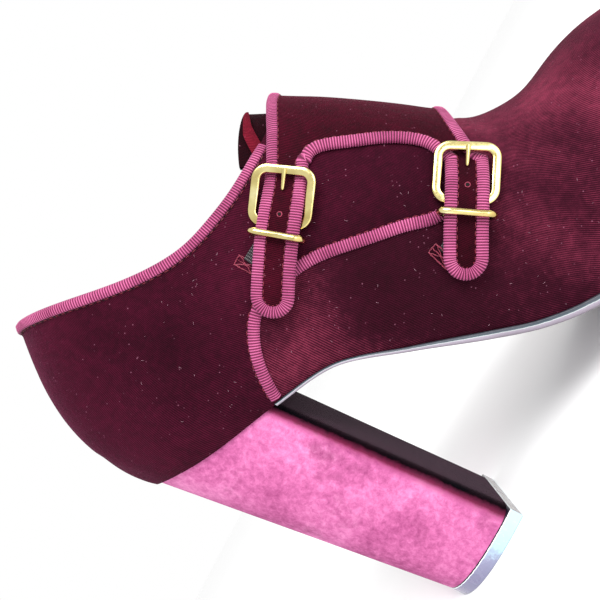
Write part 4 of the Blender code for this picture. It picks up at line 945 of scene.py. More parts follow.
def clipped(rows, faces, field):
    """Part of a sheet where a field given at its rows is above zero, cut along the zero line."""
    kept = {}
    cuts = {}
    made = []

    def corner(v):
        if v not in kept:
            kept[v] = len(made)
            made.append(rows[v])
        return kept[v]

    def crossing(a, b):
        key = (min(a, b), max(a, b))
        if key not in cuts:
            share = field[a] / (field[a] - field[b])
            cuts[key] = len(made)
            made.append(rows[a] * (1 - share) + rows[b] * share)
        return cuts[key]

    left = []
    inside = field > 0
    for face in faces:
        states = [inside[v] for v in face]
        if all(states):
            left.append(tuple(corner(v) for v in face))
        elif any(states):
            polygon = []
            for a, b in zip(face, face[1:] + face[:1]):
                if inside[a]:
                    polygon.append(corner(a))
                if inside[a] != inside[b]:
                    polygon.append(crossing(a, b))
            left.append(tuple(polygon))
    return np.array(made), left


def sheet_row(place, normal, weave):
    """Row of a sheet: a point on the last with its normal and its weave distances."""
    return np.concatenate([place, normal, weave])


def shell(name, rows, faces, high, low, surface):
    """Closed sheet between two heights above the last."""
    count = len(rows)
    high = np.asarray(high, float).reshape(-1, 1)
    low = np.asarray(low, float).reshape(-1, 1)
    points = np.vstack([rows[:, :3] + rows[:, 3:6] * high, rows[:, :3] + rows[:, 3:6] * low])
    edges = set()
    for face in faces:
        edges.update(zip(face, face[1:] + face[:1]))
    solid = list(faces)
    solid += [tuple(count + v for v in reversed(face)) for face in faces]
    solid += [(b, a, count + a, count + b) for a, b in edges if (b, a) not in edges]
    return mesh_piece(name, points, solid, surface, np.vstack([rows[:, 6:8]] * 2))


# Materials

def tinted(rgb):
    """Linear colour of an sRGB one given from 0 to 255."""
    return (*((c / 255) ** 2.2 for c in rgb), 1.0)


class Paint:
    """A material whose nodes are added one by one."""

    def __init__(self, name, **sockets):
        self.made = bpy.data.materials.new(name)
        self.made.use_nodes = True
        self.tree = self.made.node_tree
        self.shader = self.tree.nodes["Principled BSDF"]
        for key, value in sockets.items():
            self.shader.inputs[key.replace("_", " ")].default_value = value
        coordinates = self.tree.nodes.new("ShaderNodeTexCoord")
        self.object = coordinates.outputs["Object"]
        self.uv = coordinates.outputs["UV"]

    def node(self, kind, wires, output=0, **settings):
        """Output of a new node whose inputs are wired to sockets or set to values."""
        made = self.tree.nodes.new("ShaderNode" + kind)
        for key, value in settings.items():
            setattr(made, key, value)
        for key, value in wires.items():
            if isinstance(value, bpy.types.NodeSocket):
                self.tree.links.new(value, made.inputs[key])
            else:
                made.inputs[key].default_value = value
        return made.outputs[output]

    def noise(self, scale, detail, rough, distortion=0.0):
        wires = {"Vector": self.object, "Scale": scale, "Detail": detail,
                 "Roughness": rough, "Distortion": distortion}
        return self.node("TexNoise", wires)

    def waves(self, period, at, direction="X", distortion=0.0, detail_scale=1.0):
        """Even bands, lowest at zero. The wave node runs through 20 radians in one unit."""
        wires = {"Vector": at, "Scale": math.tau / 20 / period, "Distortion": distortion,
                 "Detail Scale": detail_scale}
        return self.node("TexWave", wires, 1, bands_direction=direction)

    def ramp(self, amount, *stops):
        """Colour between stops, which are each a position and an sRGB colour."""
        made = self.tree.nodes.new("ShaderNodeValToRGB")
        self.tree.links.new(amount, made.inputs[0])
        elements = made.color_ramp.elements
        while len(elements) < len(stops):
            elements.new(0.5)
        for element, (position, rgb) in zip(elements, stops):
            element.position = position
            element.color = tinted(rgb)
        return made.outputs[0]

    def level(self, amount, low, high, to_low=0.0, to_high=1.0):
        wires = {"Value": amount, "From Min": low, "From Max": high,
                 "To Min": to_low, "To Max": to_high}
        return self.node("MapRange", wires)

    def spread(self, noise, to_low, to_high):
        """A noise with its usual range stretched over new limits."""
        return self.level(noise, 0.3, 0.7, to_low, to_high)

    def add(self, a, b):
        return self.node("Math", {0: a, 1: b}, operation="ADD")

    def times(self, a, b):
        return self.node("Math", {0: a, 1: b}, operation="MULTIPLY")

    def ragged(self, amount, noise, reach):
        """An amount that a noise moves up and down."""
        return self.add(amount, self.spread(noise, -reach, reach))

    def mix(self, amount, a, b):
        """Mix of one socket's colour with another's or with an sRGB colour."""
        if not isinstance(b, bpy.types.NodeSocket):
            b = tinted(b)
        return self.node("Mix", {0: amount, 6: a, 7: b}, 2, data_type="RGBA")

    def turned(self, source, turn):
        return self.node("Mapping", {"Vector": source, "Rotation": (0.0, 0.0, turn)})

    def split(self, source, output):
        return self.node("SeparateXYZ", {"Vector": source}, output)

    def forward(self):
        """How far the surface faces the toe."""
        return self.split(self.node("NewGeometry", {}, "Normal"), 0)

    def bump(self, height, distance, strength, under=None):
        wires = {"Height": height, "Distance": distance, "Strength": strength}
        if under is not None:
            wires["Normal"] = under
        return self.node("Bump", wires)

    def wire(self, socket, source):
        self.tree.links.new(source, self.shader.inputs[socket])

    def done(self, base, roughness, normal):
        """The material, with its colour, roughness and normal wired up."""
        self.wire("Base Color", base)
        self.wire("Roughness", roughness)
        self.wire("Normal", normal)
        return self.made


def velvet(name, deep, middle, bright, sheen, sheen_weight, patchy):
    """Velvet with a fine twill, soft patches, a brushed pile and a little lint."""
    paint = Paint(
        name, Roughness=0.85, Specular_IOR_Level=0.05,
        Sheen_Weight=sheen_weight, Sheen_Roughness=0.3, Sheen_Tint=(*sheen, 1.0),
    )
    patch = paint.noise(18.0, 2.0, 0.5, 0.4)
    brushed = paint.noise(380.0, 4.0, 0.7, 0.4)
    pile = paint.noise(3500.0, 2.0, 0.6)
    twill = paint.waves(
        TWILL_PITCH, paint.turned(paint.uv, -0.95), distortion=0.6, detail_scale=300.0,
    )
    low = 0.25 - patchy / 2
    tone = paint.add(paint.spread(patch, low, low + patchy), paint.spread(brushed, 0.0, 0.2))
    tone = paint.add(tone, paint.level(twill, 0.0, 1.0, 0.0, 0.32))
    cloth = paint.ramp(tone, (0.1, deep), (0.5, middle), (0.95, bright))
    specks = paint.node("TexVoronoi", {"Vector": paint.object, "Scale": 620.0, "Randomness": 1.0})
    chosen = paint.noise(330.0, 1.0, 0.5)
    dots = paint.times(paint.level(specks, 0.05, 0.16, 1.0, 0.0), paint.level(chosen, 0.52, 0.62))
    height = paint.bump(pile, 0.12 * MM, 0.9)
    height = paint.bump(twill, 0.10 * MM, 0.7, height)
    height = paint.bump(brushed, 0.35 * MM, 0.6, height)
    return paint.done(
        paint.mix(paint.times(dots, 0.5), cloth, (150, 96, 118)),
        paint.level(brushed, 0.2, 0.8, 0.7, 0.98),
        paint.bump(patch, 1.2 * MM, 0.35, height),
    )


def ribbon_cloth(name):
    """Ribbed ribbon: ribs run across its width, one every RIB_PITCH of its length, painted darker
    in their grooves as painted shade and lighter on their ridges as painted highlight.
    """
    paint = Paint(
        name, Roughness=0.6, Specular_IOR_Level=0.25,
        Sheen_Weight=0.15, Sheen_Roughness=0.4, Sheen_Tint=(1.0, 0.6, 0.8, 1.0),
    )
    rib = paint.waves(RIB_PITCH, paint.uv)
    fade = paint.noise(90.0, 3.0, 0.6)
    strands = paint.noise(2600.0, 2.0, 0.6)
    # The ribs' colour is painted shade in the grooves and painted highlight on the ridges; the slow
    # noise is the ribbon's own uneven tone.
    tone = paint.add(paint.level(rib, 0.0, 1.0, 0.0, 0.72), paint.spread(fade, 0.0, 0.28))
    return paint.done(
        paint.ramp(
            tone, (0.05, (66, 18, 40)), (0.35, (106, 34, 68)), (0.65, (142, 56, 98)),
            (0.95, (186, 98, 138)),
        ),
        paint.level(strands, 0.2, 0.8, 0.6, 0.85),
        paint.bump(rib, 0.10 * MM, 0.6, paint.bump(strands, 0.05 * MM, 0.6)),
    )


def heel_velvet(name):
    """Crushed pink velvet with dark smudges, and painted shade that turns it nearly black on the
    breast.
    """
    paint = Paint(
        name, Roughness=0.8, Specular_IOR_Level=0.04,
        Sheen_Weight=0.08, Sheen_Roughness=0.3, Sheen_Tint=(1.0, 0.55, 0.8, 1.0),
    )
    wide = paint.noise(40.0, 3.0, 0.55, 0.5)
    brushed = paint.noise(500.0, 5.0, 0.75, 0.3)
    smudge = paint.noise(70.0, 7.0, 0.66, 0.25)
    pile = paint.noise(3500.0, 2.0, 0.6)
    tone = paint.add(paint.spread(wide, 0.0, 0.5), paint.spread(brushed, 0.0, 0.5))
    pink = paint.ramp(tone, (0.15, (146, 68, 112)), (0.5, (184, 98, 146)), (0.85, (212, 130, 176)))
    pink = paint.mix(paint.level(smudge, 0.54, 0.72, 0.0, 0.7), pink, (104, 38, 74))
    # Painted shade on the faces turned to the toe: darker towards the corner, and nearly black with
    # dark red blotches on the breast.
    forward = paint.ragged(paint.forward(), brushed, 0.08)
    breast_shade = paint.ramp(smudge, (0.42, (5, 5, 11)), (0.75, (28, 8, 18)))
    pink = paint.mix(paint.level(forward, 0.04, 0.45, 0.0, 0.85), pink, (104, 24, 52))
    return paint.done(
        paint.mix(paint.level(forward, 0.25, 0.80), pink, breast_shade),
        paint.level(brushed, 0.2, 0.8, 0.7, 0.95),
        paint.bump(brushed, 0.3 * MM, 0.5, paint.bump(pile, 0.12 * MM, 0.9)),
    )


def gold_metal(name):
    """Polished pale gold with faint handling marks."""
    paint = Paint(name, Metallic=1.0, Roughness=0.2)
    marks = paint.noise(900.0, 4.0, 0.6)
    wear = paint.noise(150.0, 2.0, 0.5)
    return paint.done(
        paint.ramp(wear, (0.3, (186, 166, 102)), (0.6, (220, 206, 142)), (0.8, (240, 232, 178))),
        paint.spread(marks, 0.08, 0.2),
        paint.bump(marks, 0.01 * MM, 0.4),
    )


def lining_leather(name):
    """Matt black lining with a fine grain."""
    paint = Paint(name, Roughness=0.75, Specular_IOR_Level=0.3)
    grain = paint.noise(1500.0, 4.0, 0.6)
    wide = paint.noise(60.0, 2.0, 0.5)
    return paint.done(
        paint.ramp(wide, (0.3, (24, 20, 26)), (0.7, (46, 40, 48))),
        paint.spread(grain, 0.62, 0.85),
        paint.bump(grain, 0.08 * MM, 0.6),
    )


def sole_edge(name):
    """Burnished black sole edge, dark above, with a pale painted highlight line and a lower band
    painted lighter as a painted reflection of the floor.
    """
    paint = Paint(name, Roughness=0.4, Specular_IOR_Level=0.4)
    marks = paint.noise(500.0, 4.0, 0.6)
    scuffs = paint.noise(70.0, 3.0, 0.6)
    # Painted reflection and highlight: the lower band is painted lighter, with a pale highlight
    # line above it, under the dark top.
    bands = paint.ramp(
        paint.ragged(paint.split(paint.uv, 1), marks, 0.03),
        (0.0, (120, 112, 122)), (0.50, (150, 142, 156)), (0.56, (196, 206, 204)),
        (0.62, (60, 76, 84)), (1.0, (26, 34, 42)),
    )
    return paint.done(
        paint.mix(paint.level(scuffs, 0.35, 0.75, 0.0, 0.35), bands, (100, 90, 100)),
        paint.spread(marks, 0.32, 0.55),
        paint.bump(marks, 0.05 * MM, 0.6),
    )


def heel_rubber(name):
    """Glossy top piece, paler and bluer towards the front as painted reflection, with painted shade
    on its facet to the toe, and a pale painted highlight line and a dark seam along its upper edge.
    """
    paint = Paint(
        name, Roughness=0.2, Specular_IOR_Level=0.5, Coat_Weight=0.5, Coat_Roughness=0.1,
    )
    marks = paint.noise(350.0, 4.0, 0.6)
    chips = paint.noise(900.0, 3.0, 0.6)
    # Painted reflection: the top piece grows paler and bluer from its back to its front.
    lengthwise = paint.level(paint.split(paint.uv, 0), HEEL_SETBACK, HEEL_SETBACK + TIP_LENGTH)
    body = paint.ramp(
        paint.ragged(lengthwise, marks, 0.06),
        (0.30, (112, 112, 140)), (0.52, (128, 132, 158)), (0.60, (158, 188, 204)),
        (1.0, (172, 204, 218)),
    )
    # Painted shade on the facet that faces the toe.
    body = paint.mix(paint.level(paint.forward(), 0.5, 0.9), body, (92, 84, 84))
    # Painted highlight: a pale line just under the dark seam at the upper edge.
    edge = paint.ragged(paint.split(paint.uv, 1), chips, 0.02)
    body = paint.mix(paint.level(edge, 0.86, 0.88), body, (222, 232, 236))
    return paint.done(
        paint.mix(paint.level(edge, 0.92, 0.935), body, (26, 22, 34)),
        paint.spread(marks, 0.15, 0.35),
        paint.bump(marks, 0.03 * MM, 0.5),
    )


def elastic_web(name):
    """Dark woven elastic."""
    paint = Paint(name, Roughness=0.8, Specular_IOR_Level=0.25)
    across = paint.waves(0.8 * MM, paint.uv)
    along = paint.waves(0.6 * MM, paint.uv, direction="Y")
    web = paint.times(across, along)
    return paint.done(
        paint.ramp(web, (0.1, (34, 30, 34)), (0.8, (104, 98, 100))),
        paint.level(web, 0.0, 1.0, 0.9, 0.7),
        paint.bump(web, 0.15 * MM, 0.9),
    )


def thread(name, low, high):
    """Sewing thread with a twist."""
    paint = Paint(name, Roughness=0.55, Specular_IOR_Level=0.4)
    twist = paint.noise(4000.0, 2.0, 0.5)
    return paint.done(
        paint.ramp(twist, (0.3, low), (0.7, high)),
        paint.spread(twist, 0.45, 0.7),
        paint.bump(twist, 0.03 * MM, 0.6),
    )


def hole_with_painted_shade(name):
    """Hole painted dark inside as painted shade, with a lighter ring near its rim, by distance from
    its middle.
    """
    paint = Paint(name, Roughness=0.8, Specular_IOR_Level=0.2)
    fray = paint.noise(1400.0, 3.0, 0.6)
    return paint.done(
        # Painted shade inside the hole, with a lighter ring near the rim.
        paint.ramp(
            paint.ragged(paint.split(paint.uv, 0), fray, 0.12),
            (0.45, (10, 4, 8)), (0.62, (36, 8, 18)), (0.80, (150, 64, 84)), (1.0, (70, 14, 30)),
        ),
        paint.spread(fray, 0.7, 0.9),
        paint.bump(fray, 0.06 * MM, 0.6),
    )


HOLE = hole_with_painted_shade("hole_with_painted_shade")
# Dark pile threads, dark as a painted shadow under the ribbons' edges.
PILE_SHADOW = thread("pile_shadow_tufts", (16, 4, 10), (52, 10, 26))
LINT = thread("lint_fibre", (120, 78, 96), (186, 150, 164))
# The vamp, the quarters and the flap are one velvet in lit and shaded copies: the vamp's copy is
# painted lighter and patchier as painted light, and the quarters' and the flap's copies are painted
# darker as painted shade.
VAMP_VELVET_PAINTED_LIGHT = velvet(
    "vamp_velvet_painted_light", (34, 10, 19), (54, 18, 32), (124, 50, 70), (0.62, 0.12, 0.22), 0.3, 0.6,
)
QUARTER_VELVET_PAINTED_SHADE = velvet(
    "quarter_velvet_painted_shade", (24, 6, 15), (46, 12, 26), (82, 26, 46), (0.50, 0.10, 0.24), 0.25, 0.3,
)
FLAP_VELVET_PAINTED_SHADE = velvet(
    "flap_velvet", (20, 4, 10), (42, 9, 20), (80, 20, 38), (0.55, 0.09, 0.18), 0.28, 0.35,
)
# The tongue's copy of the velvet is painted nearly black as painted shade under the flap.
TONGUE_VELVET_PAINTED_SHADE = velvet(
    "tongue_velvet", (6, 2, 6), (22, 4, 12), (46, 8, 20), (0.3, 0.05, 0.1), 0.15, 0.4,
)
# The fold's copy of the velvet is painted bright red as a painted highlight where the tongue's fold
# catches the light.
FOLD_VELVET_PAINTED_HIGHLIGHT = velvet(
    "fold_velvet_painted_highlight", (34, 6, 12), (72, 13, 26), (116, 30, 46), (0.6, 0.1, 0.2), 0.12, 0.5,
)
HEEL_VELVET = heel_velvet("heel_velvet")
RIBBON = ribbon_cloth("ribbon_cloth")
GOLD = gold_metal("pale_gold")
LINING = lining_leather("black_lining")
SOLE = sole_edge("sole_edge")
TOP_PIECE = heel_rubber("top_piece")
ELASTIC = elastic_web("elastic_web")
THREAD = thread("burgundy_thread", (70, 10, 26), (120, 24, 48))
TACK_THREAD = thread("tack_thread", (60, 12, 26), (158, 58, 82))


# Upper

def creased(rows):
    """Rows of a sheet let in along the soft troughs, on both sides of the shoe."""
    depth = np.zeros(len(rows))
    for line, deep, wide in CREASES:
        for side in (1, -1):
            places = [(along, side * around) for along, around in line]
            path = line_on_last(places, CREASE_STEPS)
            away = np.linalg.norm(rows[:, None, :3] - path[None], axis=2).min(axis=1)
            depth = np.maximum(depth, deep * MM * np.exp(-((away / (wide * MM)) ** 2)))
    sunk = rows.copy()
    sunk[:, :3] -= rows[:, 3:6] * depth[:, None]
    return sunk


def build_lint():
    """A few fine fibres caught on the outer side's pile."""
    chance = random.Random(11)
    fibres = Threads()
    for _ in range(LINT_COUNT):
        point, normal = LAST.at(chance.uniform(*LINT_ALONG), chance.uniform(*LINT_AROUND))
        heading = unit(np.cross(normal, [chance.uniform(-1, 1) for _ in range(3)]))
        bend = np.cross(normal, heading) * chance.uniform(-0.5, 0.5)
        if point[2] < float(feather_height(point[0])[0]) + LINT_ABOVE_SOLE:
            continue
        length = chance.uniform(0.25, 0.85) * MM
        line = []
        for k in range(LINT_POINTS):
            share = k / (LINT_POINTS - 1)
            at = point + (heading * share + bend * share**2) * length
            lift = QUARTER_STEP + LINT_LIFT + LINT_RISE * math.sin(math.pi * share)
            line.append(LAST.snap(at, lift)[0])
        fibres.add(tube(line, LINT_RADIUS, 4))
    fibres.finish("lint", LINT, "velvet")


def collar_region():
    """Side-view outline of the upper, between the feather line and the collar."""
    collar = line_in_side_view(COLLAR_LINE)
    back = collar[0]
    xs = np.linspace(-MARGIN, LENGTH + MARGIN, FEATHER_STEPS)
    region = list(zip(xs, feather_height(xs) - FEATHER_TUCK))
    region += [(LENGTH + MARGIN, TOP), (collar[-1][0] + MARGIN, TOP)]
    slope = (back[1] - collar[4][1]) / (back[0] - collar[4][0])
    return region + collar[::-1] + [(back[0] - MARGIN, back[1] - MARGIN * slope)]


def quarter_region():
    """Side-view outline of both quarters, behind their front edge."""
    edge = line_in_side_view(QUARTER_LINE)
    below = edge[0][1] - MARGIN
    region = [(-MARGIN, below), (edge[0][0], below)] + edge
    return region + [(edge[-1][0] + MARGIN, TOP), (-MARGIN, TOP)]


def build_upper():
    """Vamp skin, quarters on top of it and the lining inside."""
    toe = LAST_ROWS[:LAST.around].mean(axis=0)
    toe[3:6] = (1.0, 0.0, 0.0)
    rows = creased(np.vstack([LAST_ROWS, toe]))
    cap = [(j, (j + 1) % LAST.around, len(LAST_ROWS)) for j in range(LAST.around)]
    rows, faces = clipped(rows, LAST.faces + cap, side_field(collar_region(), rows))
    skin = shell("upper_skin", rows, faces, 0.0, -SKIN_THICKNESS, VAMP_VELVET_PAINTED_LIGHT)
    finish_piece(skin, "velvet", "upper")
    lining = shell("upper_lining", rows, faces, -SKIN_THICKNESS - SLIVER, -WALL, LINING)
    finish_piece(lining, "lining")
    rows, faces = clipped(rows, faces, side_field(quarter_region(), rows))
    quarter = shell("quarters", rows, faces, QUARTER_STEP, QUARTER_LAY, QUARTER_VELVET_PAINTED_SHADE)
    finish_piece(quarter, "velvet")


# Flap and straps

def build_flap():
    """Flap over the instep with its two straps. Returns the ordered edge that the ribbon binds."""
    strap_cells = 12
    gap_cells = 56
    bridge_cells = 30
    inner_cells = 56
    first = STRAP_1.cross_row(0.0, STRAP_1.half, strap_cells)
    last_root = []
    for k in range(strap_cells + 1):
        share = k / strap_cells
        place = [a * (1 - share) + b * share for a, b in zip(*STRAP_2_ROOT)]
        last_root.append(LAST.at(*place, LIFT_LOW))
    gap_path = line_on_last(GAP_LINE, gap_cells + 1)
    gap_points = [LAST.snap(p, LIFT_LOW) for p in gap_path[1:-1]]
    root = first + gap_points + last_root
    roots = [place_of(point) for point, _ in root]
    rows = len(root)
    table = []

    def add(spot, weave):
        """Add a row to the flap's sheet and return its number."""
        table.append(sheet_row(*spot, weave))
        return len(table) - 1

    bridge = [[add(spot, weave_at(*place))] for spot, place in zip(root, roots)]
    shares = []
    for along, around in roots:
        back = flap_edge(FLAP_BACK_LINE, around)
        front = flap_edge(FLAP_FRONT_LINE, around)
        shares.append((along - back) / (front - back))
    for k in range(strap_cells + 1):
        fade = k / strap_cells
        shares[k] = shares[strap_cells] * fade
        shares[-1 - k] = 1 - (1 - shares[-1 - strap_cells]) * fade
    for row, (along, around) in enumerate(roots):
        share = shares[row]
        start = flap_along(around, share)
        seam = flap_seam(share)
        for c in range(1, bridge_cells + inner_cells + 1):
            if c <= bridge_cells:
                left = 1 - c / bridge_cells
                turn = around * left
            else:
                left = 0.0
                turn = -seam * ((c - bridge_cells) / inner_cells) ** INNER_CROWDING
            place = flap_along(turn, share) + (along - start) * left**2
            bridge[row].append(add(LAST.at(place, turn, LIFT_LOW), weave_at(place, turn)))

    faces = []
    for i in range(rows - 1):
        for c in range(bridge_cells + inner_cells):
            faces.append((bridge[i][c], bridge[i + 1][c], bridge[i + 1][c + 1], bridge[i][c + 1]))

    borders = []
    for strap, first_row in ((STRAP_1, 0), (STRAP_2, rows - strap_cells - 1)):
        previous = [bridge[first_row + k][0] for k in range(strap_cells + 1)]
        left_side = []
        right_side = []
        for distance, half in strap.columns():
            across = strap.cross_row(distance, half, strap_cells)
            current = [add(spot, weave_at(*place_of(spot[0]))) for spot in across]
            for k in range(strap_cells):
                faces.append((current[k], current[k + 1], previous[k + 1], previous[k]))
            left_side.append(current[0])
            right_side.append(current[-1])
            previous = current
        borders.append(left_side + previous[1:-1] + right_side[::-1])

    edge = bridge[0][::-1] + borders[0]
    edge += [bridge[i][0] for i in range(strap_cells, rows - strap_cells)]
    edge += borders[1] + bridge[-1]
    table = np.array(table)
    made = shell("flap_cloth", table, faces, STRAP_THICKNESS, 0.0, FLAP_VELVET_PAINTED_SHADE)
    finish_piece(made, "flap_velvet", "flap")
    path = [(table[i, :3], table[i, 3:6]) for i in edge]
    return path + [LAST.at(along, -around, LIFT_LOW) for along, around in FLAP_RIBBON_RUN_ON]


# Ribbons

def resampled(path):
    """Path of points and normals at four steps for each rib, and the distance at each."""
    points, normals = (np.array(column) for column in zip(*path))
    travel = travelled(points)
    wanted = np.linspace(0.0, travel[-1], round(travel[-1] / RIB_STEP) + 1)
    return sampled(wanted, travel, points), units(sampled(wanted, travel, normals)), wanted


def ring_sweep(name, rings, along, across, surface):
    """Closed tube of rings, with distances along and across it as UVs."""
    vertices = np.array(rings).reshape(-1, 3)
    weave = [(u, v) for u in along for v in across]
    return mesh_piece(name, vertices, closed_faces(len(rings), len(rings[0])), surface, weave, 55)


def folded_profile(thickness):
    """Padded ribbon over the face and round the edge of a layer that lies on another."""
    face = thickness + 0.5 * GAP
    top = face + 0.8 * RIBBON_THICKNESS
    inside = RIBBON_OVERHANG - RIBBON_WIDTH
    touch = thickness + SLIVER
    return [
        (inside, touch),
        (inside - SLIVER, touch + 0.30 * MM),
        (inside + 0.14 * MM, top - 0.16 * MM),
        (inside + 0.45 * MM, top),
        (inside * 0.45, top + 0.06 * MM),
        (0.0, top),
        (0.50 * RIBBON_OVERHANG, top - 0.25 * MM),
        (0.85 * RIBBON_OVERHANG, face - 0.10 * MM),
        (RIBBON_OVERHANG, 0.6 * thickness),
        (0.95 * RIBBON_OVERHANG, GAP),
        (0.60 * RIBBON_OVERHANG, 0.6 * GAP),
        (0.05 * MM, 0.6 * GAP),
        (0.05 * MM, touch),
    ]


def rib_height(travel):
    """Height of the ribs along a ribbon."""
    return RIB_RELIEF * (0.5 - 0.5 * np.cos(math.tau * np.asarray(travel) / RIB_PITCH))


def bind(node, stitch_name, path, thickness, outward_sign):
    """Ribbon that binds a layer's edge, with a row of stitches on it, and its cleaned path."""
    points, normals, travel = resampled(path)
    headings = path_headings(points)
    for _ in range(3):
        headings[1:-1] = headings[:-2] + 2 * headings[1:-1] + headings[2:]
        headings = units(headings)
    outward = units(np.cross(headings, normals) * outward_sign)
    profile = np.array(folded_profile(thickness))
    away = units(profile - profile.mean(axis=0))
    rings = []
    for point, out, side, relief in zip(points, normals, outward, rib_height(travel)):
        ribbed = profile + away * relief
        rings.append([point + side * across + out * height for across, height in ribbed])
    made = ring_sweep(node + "_cloth", rings, travel, travelled(profile), RIBBON)
    finish_piece(made, "ribbon", node)
    inside = RIBBON_OVERHANG - RIBBON_WIDTH - STITCH_INSET
    stitches(stitch_name, points, normals, outward, inside, thickness + STITCH_LAY)
    return points, normals, outward


def stitches(name, points, normals, outward, across, height):
    """Row of short stitches beside a path."""
    travel = travelled(points)
    places = points + outward * across + normals * height
    seam = Threads()
    at = 0.5 * STITCH_PITCH
    while at + STITCH_PITCH < travel[-1]:
        spans = np.linspace(at, at + STITCH_SHARE * STITCH_PITCH, 5)
        at += STITCH_PITCH
        line = sampled(spans, travel, places)
        out = sampled(spans[2], travel, normals)
        heading = line[-1] - line[0]
        if np.linalg.norm(heading) < 0.3 * STITCH_PITCH:
            continue
        side = unit(np.cross(out, unit(heading)))
        rings = []
        for k, point in enumerate(line):
            bow = math.sin(math.pi * k / 4)
            thick = STITCH_RADIUS * (0.45 + 0.55 * bow)
            ring = []
            for spoke in range(STITCH_SPOKES):
                angle = math.tau * spoke / STITCH_SPOKES
                rise = STITCH_RISE * bow + thick * math.sin(angle)
                ring.append(point + out * rise + side * thick * math.cos(angle))
            rings.append(ring)
        seam.add(rings)
    seam.finish(name, THREAD, "ribbon")


def shadow_tufts(name, points, normals, outward, across, height, seed):
    """Ragged pile that stands out from under the edge of a ribbon, made dark as a painted shadow
    along that edge.
    """
    chance = random.Random(seed)
    travel = travelled(points)
    places = points + outward * across + normals * height
    tufts = Threads()
    at = FRINGE_END
    while at < travel[-1] - FRINGE_END:
        root, out, side = [sampled(at, travel, table) for table in (places, normals, outward)]
        slant = np.cross(out, side) * chance.uniform(-0.6, 0.6)
        reach = chance.uniform(0.35, 1.0) * MM
        line = [
            root + (slant - side) * reach * share + out * FRINGE_RISE * math.sin(math.pi * share)
            for share in (0.0, 0.4, 0.75, 1.0)
        ]
        spokes = []
        for spoke in range(4):
            angle = math.tau * spoke / 4
            spokes.append(out * math.sin(angle) + np.cross(out, side) * math.cos(angle))
        tufts.add([
            [point + away * thick * FRINGE_RADIUS for away in spokes]
            for point, thick in zip(line, (1.0, 0.9, 0.6, 0.15))
        ])
        at += chance.uniform(0.18, 0.42) * MM
    tufts.finish(name, PILE_SHADOW, "velvet")


def rim_of_wall(point, normal, side):
    """Outer and inner corners of the collar's rim, which is cut level across the shoe."""
    if normal[0] < 0 and abs(normal[1]) < LEVEL_RIM_FROM:
        return point + normal * QUARTER_STEP, point - normal * WALL
    corners = []
    for offset in (QUARTER_STEP, -WALL):
        y = LAST.side(point[0], point[2], side, offset)
        corners.append(np.array([point[0], y, point[2]]))
    return corners


def collar_frames():
    """Corners of the collar's rim and its directions at coarse places from outer to inner."""
    end = LAST.at(*COLLAR_HIDDEN_END)[0]
    line = [p for p in line_on_last(COLLAR_LINE, COLLAR_PLACES) if p[0] < end[0]]
    places = [(*on_side(p, -1), -1) for p in line[::-1]]
    places += [(*on_side(p, 1), 1) for p in line[1:]]
    points = np.array([point for point, _, _ in places])
    frames = []
    for (point, normal, side), heading in zip(places, path_headings(points)):
        up = unit(np.cross(heading, normal))
        rise = unit(np.array([up[0], 0.0, up[2]]))
        outside, inside = rim_of_wall(point, normal, side)
        frames.append(np.concatenate([outside, inside, normal, up, rise]))
    return np.array(frames)


def build_collar_ribbon():
    """Padded ribbon folded over the collar, from the flap on the outer side to the inner side."""
    frames = collar_frames()
    travel = travelled(frames[:, :3])
    wanted = np.linspace(0.0, travel[-1], round(travel[-1] / RIB_STEP))
    fine = natural_spline(travel, frames, wanted)
    leg = RIBBON_WIDTH - RIBBON_OVERHANG
    inner_leg = LINING_LEG_SHARE * leg
    rings = []
    for row, relief, at in zip(fine, rib_height(wanted), wanted):
        outside, inside = row[:6].reshape(2, 3)
        normal, up, rise = (unit(direction) for direction in row[6:].reshape(3, 3))
        tuck = 1 - min(1.0, min(at, travel[-1] - at) / COLLAR_TUCK)
        sink = COLLAR_SINK * tuck**1.5
        face = outside + normal * (0.05 * MM - sink)
        skin = outside + normal * (GAP + RIBBON_THICKNESS + relief - sink)
        lining = inside - normal * (LINING_GAP + RIBBON_THICKNESS)
        rings.append([
            face - up * leg,
            face - up * (leg + SLIVER) + normal * 0.35 * MM,
            skin - up * (leg - 0.12 * MM) - normal * 0.2 * MM,
            skin - up * (leg - 0.45 * MM),
            skin - up * leg * 0.4 + normal * 0.08 * MM,
            skin + rise * 0.1 * RIBBON_OVERHANG,
            skin * 0.85 + lining * 0.15 + rise * 0.75 * RIBBON_OVERHANG,
            skin * 0.65 + lining * 0.35 + rise * 1.02 * RIBBON_OVERHANG,
            skin * 0.35 + lining * 0.65 + rise * 1.02 * RIBBON_OVERHANG,
            skin * 0.15 + lining * 0.85 + rise * 0.75 * RIBBON_OVERHANG,
            lining + rise * 0.1 * RIBBON_OVERHANG,
            lining - up * inner_leg * 0.5,
            lining - up * inner_leg,
            inside - normal * 0.05 * MM - up * inner_leg,
            inside - normal * 0.05 * MM + rise * 0.1 * MM,
            outside + rise * 0.1 * MM,
        ])
    across = [MM * distance for distance in COLLAR_WEAVE]
    made = ring_sweep("collar_ribbon_cloth", rings, wanted, across, RIBBON)
    finish_piece(made, "ribbon", "collar_ribbon")
    points = fine[:, :3]
    normals = units(fine[:, 6:9])
    ups = units(fine[:, 9:12])
    stitches("collar_stitches", points, normals, ups, -leg - STITCH_INSET, STITCH_LAY)
    # Dark pile under the ribbon's lower edge, as painted shadow.
    shadow_tufts("collar_shadow_tufts", points, normals, ups, -leg + FRINGE_TUCK, FRINGE_LAY, 3)


